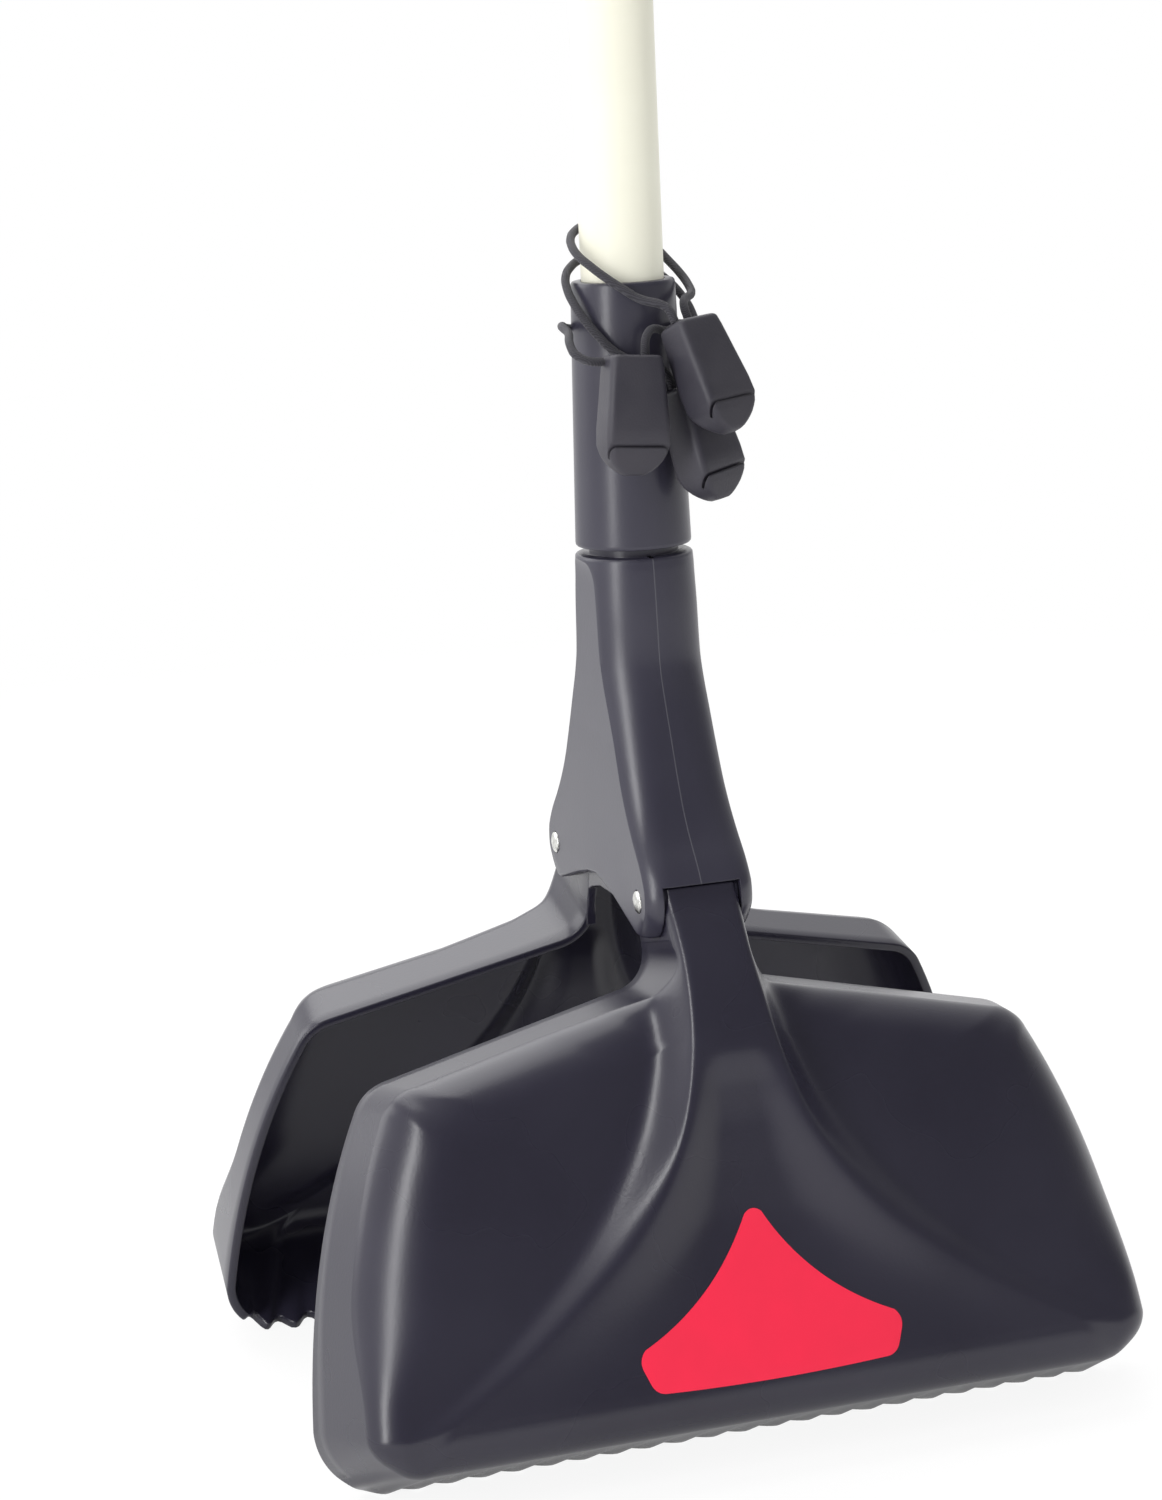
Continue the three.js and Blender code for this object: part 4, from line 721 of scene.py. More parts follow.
def jawShell(skin, draftAngle):
    # one skin of the jaw: rows from the rim to the ridge at every station, in (x, -depth, height)
    stations = jawStations()
    points = [s[0] for s in stations]
    rimLine = [(tuple(a), tuple(b - a), (b - a).length_squared) for a, b in zip(points, points[1:])]
    normals = []
    for i in range(len(points)):
        before, after = points[max(0, i - 1)], points[min(len(points) - 1, i + 1)]
        normals.append(Vector((after.y - before.y, before.x - after.x)).normalized())
    normals[0], normals[-1] = Vector((-1, 0)), Vector((0, 1))

    def profile(origin, normal, target, share, lean, widest, lift=0):
        rim = origin + normal * skin
        rounding = max(arm["edge"], mix(arm["edge"], widest, share) - skin)
        towards = target - rim
        run = towards.dot(normal)
        edge = lean + jaw["crease"] * share
        high = faceDepth(rim.x, rim.y, skin) + jaw["rim"] - rounding * (1 - math.sin(edge))
        inset = math.tan(lean) * high
        most = jaw["fullest"] * (run - inset) / math.cos(edge)
        rounding = max(jaw["leastRounding"], min(rounding, most))

        def at(distance):
            return rim + towards * min(1, distance / run)

        def rounded(p, exact):
            inwards = exact if share == 0 else rimDistance(rimLine, p.x, p.y) - skin
            u = clamped(math.cos(edge) - (inwards - inset) / rounding)
            return rounding * (1 - math.sqrt(1 - u * u)) - faceDepth(p.x, p.y, skin)

        row = []
        wallTop = rounded(at(inset), inset)
        for t in jaw["wallSteps"]:  # straight wall, drawn in by the draft
            p = at(inset * t)
            low = -jaw["rim"] + jaw["lip"] + lift
            row.append(Vector((p.x, mix(-low, wallTop, t), p.y)))
        for step in evenSteps(jaw["roundSteps"]):
            angle = mix(edge, math.pi / 2, step)
            exact = inset + rounding * (math.cos(edge) - math.cos(angle))
            p = at(exact)
            row.append(Vector((p.x, rounded(p, exact), p.y)))
        start = min(1, (inset + rounding * math.cos(edge)) / run)
        for step in evenSteps(jaw["flankSteps"])[1:]:
            t = mix(start, 1, 1 - (1 - step) ** jaw["crowding"])
            p = rim + towards * t
            row.append(Vector((p.x, rounded(p, run * t), p.y)))
        return row

    def targetAt(height):
        return Vector((ridgeAt(height).x - skin, height))

    cornerSteps, sides = jaw["cornerSteps"], []
    for i, (point, ridge, share, onArm) in enumerate(stations):
        facing = math.atan2(-normals[i].y, -normals[i].x) / (math.pi / 2)
        draft = mix(jaw["draft"]["front"], draftAngle, eased(facing, *jaw["draftTurn"]))
        draft *= share if onArm else along(draftRows, facing)
        lower = eased(-point.y / jaw["drop"], *jaw["lowerRounding"])
        widest = mix(along(roundRows, facing), roundRows[0][1], lower)
        left = len(stations) - 1 - i  # steps that are left of the lower corner
        past = points[-1].x + jaw["lowerCorner"] * math.pi / 2 * left / cornerSteps
        lift = notchAt(past) if left <= cornerSteps else 0
        target = targetAt(points[0].y if i == 0 else ridge)
        sides.append(profile(point, normals[i], target, share, draft, widest, lift))
    footX, half = points[-1].x, teeth["half"]
    step = teeth["pitch"] / teeth["steps"]
    count = round(half / step)
    feet = [-footX, -(footX + half) / 2] + [k * step for k in range(-count, count + 1)] + [(footX + half) / 2, footX]
    end = targetAt(stations[-1][1])
    draft = jaw["draft"]["front"] * along(draftRows, -1)
    bottoms = []
    for x in feet:
        foot, target = Vector((x, -jaw["drop"])), Vector((end.x * x / footX, end.y))
        bottoms.append(profile(foot, Vector((0, 1)), target, 1, draft, along(roundRows, -1), notchAt(abs(x))))
    others = [mirrored(row) for row in sides]
    bottoms[0], bottoms[-1] = others[-1], sides[-1]
    picks = [0] + list(range(2, len(feet) - 2, teeth["pick"])) + [len(feet) - 1]
    middle = []
    for row in sides[: -cornerSteps - 1]:  # the lower corner's rows all end at one point
        edge = row[-1]
        spots = [edge.x * feet[k] / footX for k in picks]
        middle.append([Vector((x, -faceDepth(x, edge.z, skin), edge.z)) for x in spots])
        middle[-1][0], middle[-1][-1] = Vector((-edge.x, edge.y, edge.z)), edge
    middle.append([bottoms[k][-1] for k in picks])
    return sides, others, bottoms, middle, picks


def jawTray(name, draftAngle):
    outer, inner = jawShell(0, draftAngle), jawShell(jaw["wall"], draftAngle)
    patches, polygons = [], []
    for sides, others, bottoms, middle, picks in (outer, inner):
        patches += [sides, others, bottoms, middle[:-1]]
        for j in range(len(picks) - 1):
            fine = [bottoms[k][-1] for k in range(picks[j], picks[j + 1] + 1)]
            polygons.append([middle[-2][j], middle[-2][j + 1]] + fine[::-1])
    for k in range(3):  # the rounded lip of the rim
        rows = []
        for a, b in zip(outer[k], inner[k]):
            rows.append([a[0].lerp(b[0], t) + Vector((0, jaw["lip"] * up, 0)) for t, up in jaw["lipRows"]])
        patches.append(rows)
        if k < 2:
            polygons.append(rows[0])
            patches.append([outer[k][0], inner[k][0]])
    patches.append([outer[3][0], inner[3][0]])
    return weldPatches(name, patches, polygons)


def slotLine():
    # the drive pin's path as a jaw sees it while it closes: (inward, up) from the hinge
    line, off = [], hinge["offset"]
    for t in evenSteps(horn["steps"]["path"]):
        swing = horn["close"] * t
        lift = horn["lift"] + horn["travel"] * t
        across, up = math.cos(swing), math.sin(swing)
        line.append(Vector((off * across + lift * up, lift * across - off * up)))
    return line


def pinBore(reach=hinge["boreReach"], y=0, z=0):
    return roundBar(hinge["bore"], (-reach, y, z), (reach, y, z))


def hornPlates(inner, outer):
    line = slotLine()
    first, last = line[0], line[-1]
    off, radius, end, foot = hinge["offset"], horn["radius"], arm["endRadius"], -horn["rootDrop"]
    turn = Matrix.Rotation(jaw["tilt"], 2)
    under = [(share * off, first.y - drop * radius) for share, drop in horn["under"]]
    steps, up = horn["steps"], math.pi / 2
    ring = arcOf(0, 0, end, math.pi, up, steps["end"]) + arcOf(last.x, last.y, radius, up, -up, steps["tip"])
    ring += [Vector(p) for p in under + [(horn["footShare"] * off, foot), (0, foot)]]
    slope = math.atan2(last.y - first.y, last.x - first.x)
    slotRing = arcOf(first.x, first.y, horn["slot"], slope + up, slope + 1.5 * math.pi, steps["slot"])
    slotRing += arcOf(last.x, last.y, horn["slot"], slope - up, slope + up, steps["slot"])
    rootX, rootDrop = horn["root"]
    root = arcOf(0, 0, end, 0, math.pi, steps["root"])
    root += [Vector(p) for p in ((-end, -rootDrop), (rootX, -rootDrop), (rootX, 0))]
    plates = []
    for side in (-1, 1):
        slotted = [[turn @ p for p in loop] for loop in (ring, slotRing)]
        plates.append(plate("hornPlate", slotted[0], side * inner, side * outer, slotted[1]))
        if outer < arm["half"] - horn["rootFrom"]:  # a horn that stands in from the arm's side needs a root out to it
            plates.append(plate("hornRoot", root, side * inner, side * (arm["half"] - horn["rootShy"])))
    return [shaped(part, [pinBore()]) for part in plates]


def jawPlace(side):
    turn = Matrix.Rotation(math.pi, 4, "Z") if side > 0 else Matrix.Identity(4)
    return movedTo(0, side * hinge["offset"], hinge["height"]) @ turn @ Matrix.Rotation(-jaw["tilt"], 4, "X")


def armEndCutter():
    top, end, reach, side = arm["top"], arm["endRadius"], arm["endReach"], arm["half"] + shaping["past"]
    half = math.asin(top / end)
    above = [Vector(p) for p in ((reach, top), (reach, reach), (-reach, reach), (-reach, top))]
    ring = arcOf(0, 0, end, math.pi - half, half, arm["endSteps"]) + above
    return plate("armEnd", ring, -side, side)


for name, way, side in (("frontJaw", "front", -1), ("backJaw", "back", 1)):
    piece = jawTray(name, jaw["draft"][way])
    shaped(piece, [armEndCutter(), pinBore()])
    joined(piece, hornPlates(*horn[way]))
    piece.data.transform(jawPlace(side))
    for vertex in piece.data.vertices:  # the teeth stand on the floor
        vertex.co.z = max(vertex.co.z, 0)
    softShade(piece, jaw["sharpFrom"])
    finished(piece, jawPlasticPaintedShade, way + "_scoop", "black_plastic", way + "_jaw")
print("jaws moulded")

# the red label on the front jaw
label = {
    "top": -81, "corner": (36.5, -115.5), "bottom": -124.9, "footIn": 3.5, "thick": 0.16, "under": 0.3, "radius": 3.2,
    "middle": -108, "edgeRise": 33, "sags": (0.075, 0, -0.012, 0, 0.075), "cornerSteps": 8, "sideSteps": 24,
    "fillSteps": 18, "sharpFrom": 40,
}


def labelOutline():
    (cx, cz), low, radius = label["corner"], label["bottom"], label["radius"]
    foot = cx - label["footIn"]
    tips = [Vector(p) for p in ((0, label["top"]), (cx, cz), (foot, low), (-foot, low), (-cx, cz))]
    loop = []
    for i, tip in enumerate(tips):
        before, after = tips[i - 1], tips[(i + 1) % 5]
        inWay, outWay = (tip - before).normalized(), (after - tip).normalized()
        start, end = tip - inWay * radius, tip + outWay * radius
        for t in evenSteps(label["cornerSteps"]):
            loop.append(start * (1 - t) ** 2 + tip * (2 * t * (1 - t)) + end * t * t)
        nextStart = after - outWay * radius
        inward = Vector((outWay.y, -outWay.x))
        for t in evenSteps(label["sideSteps"])[1:-1]:
            bow = label["sags"][i] * (after - tip).length * 4 * t * (1 - t)  # how far this side bows inwards
            loop.append(end.lerp(nextStart, t) + inward * bow)
    return loop


def labelMesh():
    outline = labelOutline()
    centre, thick = Vector((0, label["middle"])), label["thick"]
    lean, rounding = draftRows[0][1] * jaw["draft"]["front"], roundRows[0][1]
    edgeLine = -jaw["drop"] + math.tan(lean) * label["edgeRise"] + rounding * math.cos(lean + jaw["crease"])

    def onFace(p, lift):
        sink = 0
        if p.y < edgeLine:
            sink = rounding - math.sqrt(rounding ** 2 - (edgeLine - p.y) ** 2)
        return Vector((p.x, -faceDepth(p.x, p.y, 0) + sink - lift, p.y))

    loop = outline + [outline[0]]
    rows = [[onFace(p, -label["under"]) for p in loop], [onFace(p, thick) for p in loop]]
    rows += [[onFace(centre.lerp(p, 1 - t), thick) for p in loop] for t in evenSteps(label["fillSteps"])[1:]]
    sheet = weldPatches("frontLabel", [rows])
    sheet.data.transform(jawPlace(-1))
    softShade(sheet, label["sharpFrom"])
    return sheet


finished(labelMesh(), redFilm, "front_scoop", "black_plastic")
print("label laid")

# the yoke
yoke = {
    "half": 16.2, "reach": 46.4, "bottom": 131.731, "top": 229.531, "lobe": 10, "lobeArc": 106, "split": 158,
    "slotTop": 147.231, "panelUpper": 14.2, "panelLower": 15, "panelShare": 0.45, "scoopFoot": 221.5,
    "scoopTop": 228.2, "arch": 141.03, "archPull": (12, 9), "archRounding": 1.1, "topRounding": 0.9, "inside": 10.7,
    "cover": 4.4, "guide": (188.031, 200.031), "spigot": (13.2, 249.031), "waist": 1.2, "seat": 0.3,
    "rodBore": 3.2, "poleBore": 11.15, "boreReach": 20, "sunk": 4, "waistRise": (3, 4), "cutHalf": 60,
    "edgeBlend": (0.35, 0.65), "scoopLevels": (-3, -2, -1.2, -0.6, -0.25, -0.1, 0.05),
    "rimShares": (1, 0.7, 0.35, 0.1, 0), "weld": 0.01, "sharpFrom": 32,
}
# the side's, lobe's and arch's steps below the split level add up to the panel's above it
yokeSteps = {
    "edge": 4, "round": 12, "panel": 20, "lowerPanel": 14, "upper": 90, "side": 8, "lobe": 8, "arch": 4, "hollow": 12,
}
yokeRows = [  # share of the way up, then of the reach, of the rounding and of the thickness
    (0, 1, 0.506, 1), (0.132, 0.998, 0.506, 1), (0.153, 0.985, 0.51, 1), (0.204, 0.915, 0.53, 1),
    (0.26, 0.815, 0.58, 1), (0.323, 0.725, 0.66, 1), (0.385, 0.658, 0.74, 1), (0.45, 0.6, 0.79, 1),
    (0.515, 0.545, 0.83, 1), (0.58, 0.49, 0.87, 1), (0.65, 0.432, 0.92, 1), (0.717, 0.395, 0.95, 0.995),
    (0.87, 0.372, 0.95, 0.98), (0.964, 0.355, 0.97, 0.965), (1, 0.347, 0.98, 0.963),
]


def yokeAt(z):
    up = (z - yoke["bottom"]) / (yoke["top"] - yoke["bottom"])
    reach, rounding, thick = [along([(row[0], row[k]) for row in yokeRows], up) for k in (1, 2, 3)]
    return yoke["reach"] * reach, yoke["half"] * thick * rounding, yoke["half"] * thick


def panelAt(z):
    rise = (z - hinge["height"]) / (yoke["panelShare"] * (yoke["top"] - hinge["height"]))
    flat = mix(yoke["panelLower"], yoke["panelUpper"], clamped(rise))
    thick = yokeAt(min(z, yoke["top"]))[2]
    s = clamped((z - yoke["scoopFoot"]) / (yoke["scoopTop"] - yoke["scoopFoot"]))
    return mix(flat, thick, 1 - math.sqrt(1 - s * s))


def creaseAt(z, rounding, thick):
    return (panelAt(z) - thick + rounding) / rounding


def yokeRow(y, z, inY, inZ, rounding, crease, thick, targetY, targetZ, shrink=0, steps="panel"):
    # from the middle of the edge round to the side panel and across it to a target on it; y is the edge's place
    row, edgeSteps, roundSteps = [], yokeSteps["edge"], yokeSteps["round"]
    for k in range(edgeSteps):
        across = max(0, thick - rounding - shrink) * k / edgeSteps
        row.append(Vector((across, y + inY * shrink, z + inZ * shrink)))
    end = math.asin(min(1, crease))
    for angle in [end * k / roundSteps for k in range(roundSteps + 1)]:
        inset = rounding * (1 - math.cos(angle)) + shrink
        row.append(Vector((thick - shrink - rounding * (1 - math.sin(angle)), y + inY * inset, z + inZ * inset)))
    last = row[-1]
    for t in evenSteps(yokeSteps[steps])[1:]:
        z = mix(last.z, targetZ, t)
        row.append(Vector((panelAt(z) - shrink, mix(last.y, targetY, t), z)))
    return row


def upperYoke(side):
    # the edge above the split level, from the rounded top down
    split, top, rim = yoke["split"], yoke["top"], yoke["topRounding"]
    count = yokeSteps["upper"]
    levels = [top - (top - split) * i / count for i in range(count + 1)]
    levels += [yoke["scoopTop"] + d for d in yoke["scoopLevels"]]
    rows = []
    for share in yoke["rimShares"]:
        z = top - rim * (1 - share)
        reach, rounding, thick = yokeAt(z)
        shrink = rim * (1 - math.cos(math.asin(share)))
        rows.append(yokeRow(side * reach, z, -side, 0, rounding, 1, thick, 0, z, shrink))
    for z in sorted((z for z in levels if z <= top - rim), reverse=True):
        reach, rounding, thick = yokeAt(z)
        rows.append(yokeRow(side * reach, z, -side, 0, rounding, creaseAt(z, rounding, thick), thick, 0, z))
    return rows


def lowerYoke(side, corner):
    # the edge below the split level, round the lobe and along the arch, each row ending on the corner's points
    high, split, archRounding = hinge["height"], yoke["split"], yoke["archRounding"]
    stations = []
    for z in [mix(split, high, t) for t in evenSteps(yokeSteps["side"])]:
        reach, rounding, thick = yokeAt(z)
        stations.append((side * reach, z, -side, 0, rounding, creaseAt(z, rounding, thick)))
    rounding, thick = yokeAt(high)[1:]
    crease = creaseAt(high, rounding, thick)
    for t in evenSteps(yokeSteps["lobe"])[1:]:
        angle = math.radians(yoke["lobeArc"] * t)
        y, z = side * (hinge["offset"] + yoke["lobe"] * math.cos(angle)), high - yoke["lobe"] * math.sin(angle)
        share = eased(t, *yoke["edgeBlend"])
        way = (-side * math.cos(angle), math.sin(angle))
        stations.append((y, z, *way, mix(rounding, archRounding, share), mix(crease, 1, share)))
    first = Vector((abs(stations[-1][0]), stations[-1][1]))
    lean = math.radians(yoke["lobeArc"] - 90)
    (pull, flat), arch = yoke["archPull"], yoke["arch"]
    knots = [first, first + Vector((-math.cos(lean), math.sin(lean))) * pull, Vector((flat, arch)), Vector((0, arch))]
    for t in evenSteps(yokeSteps["arch"])[1:]:
        s = 1 - t
        p = knots[0] * s**3 + knots[1] * 3 * t * s**2 + knots[2] * 3 * t * t * s + knots[3] * t**3
        stations.append((side * p.x, p.y, 0, 1, archRounding, 1))
    rows = []
    for (y, z, inY, inZ, rounding, crease), target in zip(stations, corner):
        thick = panelAt(z) + rounding * (1 - crease)
        rows.append(yokeRow(y, z, inY, inZ, rounding, crease, thick, target.y, target.z, 0, "lowerPanel"))
    return rows


def yokeMesh():
    patches, tops, crease = [], [], yokeSteps["edge"] + yokeSteps["round"]
    for side in (-1, 1):
        upper = upperYoke(side)
        lower = lowerYoke(side, upper[-1][crease:])  # from the crease to the middle at the split level
        for rows in (upper, lower):
            patches += [rows, [mirrored(row) for row in rows]]
        tops.append(upper[0])
    f, b = tops
    ring = f + b[::-1][1:] + mirrored(b)[1:] + mirrored(f)[::-1][1:-1]
    return weldPatches("yokeBody", patches, [ring], yoke["weld"])


def yokeCutters():
    inside, off, high, past, half = yoke["inside"], hinge["offset"], hinge["height"], shaping["past"], yoke["cutHalf"]
    (guideFoot, guideTop), end = yoke["guide"], yoke["spigot"][1] + past
    levels = [mix(yoke["slotTop"] - 1, guideFoot, t) for t in evenSteps(yokeSteps["hollow"])]
    hollow = [(yokeAt(z)[0] - yoke["cover"], z) for z in levels]
    hollow += [(-y, z) for y, z in reversed(hollow)]
    cutters = [levelBlock(-inside, inside, -half, half, yoke["bottom"] - past, yoke["slotTop"])]
    cutters.append(plate("hollow", hollow, -inside, inside))
    for y in (-off, off):
        cutters.append(roundBar(arm["endRadius"] + yoke["seat"], (-inside, y, high), (inside, y, high)))
        cutters.append(pinBore(yoke["boreReach"], y, high))
    cutters.append(roundBar(yoke["rodBore"], (0, 0, guideFoot - past), (0, 0, end)))
    cutters.append(roundBar(yoke["poleBore"], (0, 0, guideTop), (0, 0, end)))
    return cutters


def spigotMesh():
    # the turned neck that the collar sits on, waisted just above the yoke
    (wide, high), low, (first, last) = yoke["spigot"], yoke["top"], yoke["waistRise"]
    narrow, foot = wide - yoke["waist"], low - yoke["sunk"]
    profile = [(0, foot), (narrow, foot), (narrow, low + first), (wide, low + last), (wide, high), (0, high)]
    return turned("spigot", profile)


yokePiece = yokeMesh()
shaped(yokePiece, [spigotMesh()], "UNION")
for cutter in yokeCutters():
    shaped(yokePiece, [cutter])
softShade(yokePiece, yoke["sharpFrom"])
finished(yokePiece, yokePlasticPaintedLight, "pole", "black_plastic", "yoke")
print("yoke cut and finished")

# collar, pole and pins
collar = {
    "foot": 231.531, "top": 302.031, "footRadius": 15.6, "topRadius": 13.9, "bore": 11.15, "socket": 13.35,
    "shoulder": 250.031, "cone": (1.2, 1.3, 12), "boreEdge": (0.25, 0.4), "sides": 144,
    "footEdge": ((1.0, 0), (0.35, 0.12), (0.08, 0.45), (0, 1.0)), "topEdge": ((0.12, 0.6), (0.45, 0.15), (1.0, 0)),
}
pole = {
    "radius": 11, "wall": 1.2, "edge": 0.3, "bottom": 200.331, "top": 780.331, "coat": (1, 20), "sides": 128,
}
pin = {"radius": 3, "half": 15, "dome": 0.9, "domeSteps": 8, "sides": 48}


def collarMesh():
    foot, top, wide, narrow, bore = [collar[key] for key in ("foot", "top", "footRadius", "topRadius", "bore")]
    (rise, drop, steps), (edgeIn, edgeDown) = collar["cone"], collar["boreEdge"]
    outside = [(wide - inward, foot + up) for inward, up in collar["footEdge"]]
    outside += [(mix(wide, narrow, t), mix(foot + rise, top - drop, t)) for t in evenSteps(steps)]
    outside += [(narrow - inward, top - down) for inward, down in collar["topEdge"]]
    inside = [(bore + edgeIn, top), (bore, top - edgeDown), (bore, collar["shoulder"])]
    inside += [(collar["socket"], collar["shoulder"]), (collar["socket"], foot)]
    return turned("collarSleeve", outside + inside + [outside[0]], collar["sides"])


def poleMesh():
    radius, edge, low, high = pole["radius"], pole["edge"], pole["bottom"], pole["top"]
    inner, (gap, steps) = radius - pole["wall"], pole["coat"]
    profile = [(inner, low), (radius - edge, low), (radius, low + edge)]
    profile += [(radius, mix(low + gap, high - gap, t)) for t in evenSteps(steps)]
    profile += [(radius, high - edge), (radius - edge, high), (inner, high), (inner, low)]
    return turned("polePaint", profile, pole["sides"])


def pinMesh(name, side):
    half, radius, dome = pin["half"], pin["radius"], pin["dome"]
    end = [(radius * math.cos(a), half + dome * math.sin(a)) for a in quarterTurn(pin["domeSteps"])]
    profile = [(r, -z) for r, z in end][::-1] + end
    profile[0], profile[-1] = (0, -half - dome), (0, half + dome)
    piece = turned(name, profile, pin["sides"])
    piece.data.transform(movedTo(0, side * hinge["offset"], hinge["height"]) @ Matrix.Rotation(math.pi / 2, 4, "Y"))
    return piece


finished(collarMesh(), collarPlasticPaintedLight, "pole", "black_plastic", "collar")
finished(poleMesh(), creamPaint, "pole", "cream_metal", "tube")
finished(pinMesh("frontPin", -1), brightZinc, "pole", "steel", "front_pivot_pin")
finished(pinMesh("backPin", 1), brightZinc, "pole", "steel", "back_pivot_pin")
print("collar, pole and pins fitted")

# the loop handle, its pull bar and screws; heights are measured from the handle's base
grip = {
    "base": 738.031, "halfX": 13, "rounding": 5.5, "neck": 17, "neckHeight": 34, "neckBlend": (13, 12), "halfWidth": 66,
    "floor": 64, "roof": 124, "top": 148, "opening": 50, "corners": (2, 26, 30), "openingCorner": 16, "flare": 4,
    "stem": 6.6, "gap": 0.15, "poleEnd": 2.3, "foot": (2, 14), "hip": (5, 8), "stemPast": (5, 4), "windowPast": 3,
    "neckEdge": ((1.2, 0), (0.3, 0.3), (0, 1.2)), "neckSteps": 8, "neckCut": (30, 40, 5, 60), "roundSteps": 8,
    "boreSides": 96, "sharpFrom": 30,
}
screw = {
    "places": ((-58, 811.031), (58, 811.031), (-33, 874.031), (33, 874.031)), "top": 12.7, "long": 18, "radius": 1.5,
    "head": 3, "headHeight": 2, "dome": 0.9, "recess": (3.3, 2.6), "cross": (1.9, 0.3, 1.1), "turn": 0.4,
    "recessPast": 2, "tip": (0.3, 0.7), "domeSteps": 6, "sides": 40, "sharpFrom": 35,
}
pullBar = {
    "halfWidth": 42, "halfX": 9, "height": 14, "rest": 28, "rounding": 4, "corner": 6.2, "stem": 6, "stemLength": 40,
    "rodBore": (2.65, 8.3, 48), "pinBore": (1.65, 4, 32), "pinReach": 12,
}


def roundedLoop(corners, radii, steps=10):
    # a closed outline with rounded corners, through (y, z) points
    loop = []
    for i, corner in enumerate(corners):
        here = Vector(corner)
        before, after = Vector(corners[i - 1]), Vector(corners[(i + 1) % len(corners)])
        inWay, outWay = (here - before).normalized(), (after - here).normalized()
        turn = math.acos(max(-1, min(1, inWay.dot(outWay))))
        cut = radii[i] * math.tan(turn / 2)
        start = here - inWay * cut
        sign = 1 if inWay.x * outWay.y - inWay.y * outWay.x > 0 else -1
        centre = start + Vector((-inWay.y, inWay.x)) * radii[i] * sign
        first = math.atan2(start.y - centre.y, start.x - centre.x)
        loop += arcOf(centre.x, centre.y, radii[i], first, first + sign * turn, steps)
    return loop


def insetLoop(loop, distance):
    # the outline moved inwards; it runs anticlockwise
    moved = []
    for i, here in enumerate(loop):
        way = (loop[(i + 1) % len(loop)] - loop[i - 1]).normalized()
        moved.append(here + Vector((-way.y, way.x)) * distance)
    return moved


def cushionPlate(name, loop, x0, x1, rounding, roundBoth=True):
    # a plate in the side view with rounded edges
    rows, turns = [] if roundBoth else [ringAt(x0, loop)], quarterTurn(grip["roundSteps"])
    for angle in turns if roundBoth else []:
        rows.append(ringAt(x0 + rounding * (1 - math.cos(angle)), insetLoop(loop, rounding * (1 - math.sin(angle)))))
    for angle in turns:
        rows.append(ringAt(x1 - rounding * (1 - math.sin(angle)), insetLoop(loop, rounding * (1 - math.cos(angle)))))
    return weldPatches(name, [rows], [rows[0][:-1], rows[-1][:-1]])


def rightAndLeft(points):
    # the outline's right side from (y, z) points, and its left side back down
    return points + [(-y, z) for y, z in reversed(points)]


def handleWindow(floorZ, roofZ):
    # the opening's cutter, which flares into the side face
    half, flare, past = grip["halfX"], grip["flare"], grip["windowPast"]
    loop = roundedLoop(rightAndLeft([(grip["opening"], floorZ), (grip["opening"], roofZ)]), [grip["openingCorner"]] * 4)
    rows = []
    for angle in quarterTurn(grip["roundSteps"]):
        rows.append(ringAt(half - flare * (1 - math.sin(angle)), insetLoop(loop, -flare * (1 - math.cos(angle)))))
    outside = [Vector((half + past, p.y, p.z)) for p in rows[-1]]
    inside = [Vector((-past, p.y, p.z)) for p in rows[0]]
    return weldPatches("window", [[inside] + rows + [outside]], [inside[:-1], outside[:-1]])


def handleNeck(base):
    radius, height, (narrow, rise) = grip["neck"], grip["neckHeight"], grip["neckBlend"]
    profile = [(0, base)] + [(radius - inward, base + up) for inward, up in grip["neckEdge"]]
    profile.append((radius, base + height))
    for t in evenSteps(grip["neckSteps"])[1:]:
        profile.append((mix(radius, narrow, smooth(t)), base + height + rise * t))
    neck = turned("neck", profile + [(0, base + height + rise)])
    across, half, below, above = grip["neckCut"]
    return shaped(neck, [levelBlock(-across, grip["gap"], -half, half, base - below, base + above)])


def handleHalf(name, side):
    base, wide, corners, past = grip["base"], grip["halfWidth"], grip["corners"], shaping["past"]
    floorZ, (footIn, footUp), (hipIn, hipDown) = base + grip["floor"], grip["foot"], grip["hip"]
    right = [(grip["neck"] - footIn, base + footUp), (wide - hipIn, floorZ - hipDown), (wide, base + grip["top"])]
    loop = roundedLoop(rightAndLeft(right), corners + corners[::-1])
    body = cushionPlate(name, loop, grip["gap"], grip["halfX"], grip["rounding"], False)
    shaped(body, [handleWindow(floorZ, base + grip["roof"])])
    neck, stem, (below, above) = handleNeck(base), grip["stem"], grip["stemPast"]
    end = pole["top"] + grip["poleEnd"]
    for part in (body, neck):
        shaped(part, [roundBar(pole["radius"] + grip["gap"], (0, 0, base - past), (0, 0, end), grip["boreSides"])])
        shaped(part, [levelBlock(-stem, stem, -stem, stem, pole["top"] - below, floorZ + above)])
    (radius, depth), face = screw["recess"], grip["halfX"]
    for y, z in screw["places"] if side > 0 else ():
        start, stop = (face - depth, y, z), (face + screw["recessPast"], y, z)
        shaped(body, [roundBar(radius, start, stop, screw["sides"])])
    joined(body, [neck])
    if side < 0:
        body.data.transform(Matrix.Scale(-1, 4, (1, 0, 0)))
        body.data.flip_normals()
    softShade(body, grip["sharpFrom"])
    return body


for name, side, node in (("handleLeft", -1, "handle_left"), ("handleRight", 1, "handle_right")):
    finished(handleHalf(name, side), gripPlastic, "pole", "black_plastic", node)


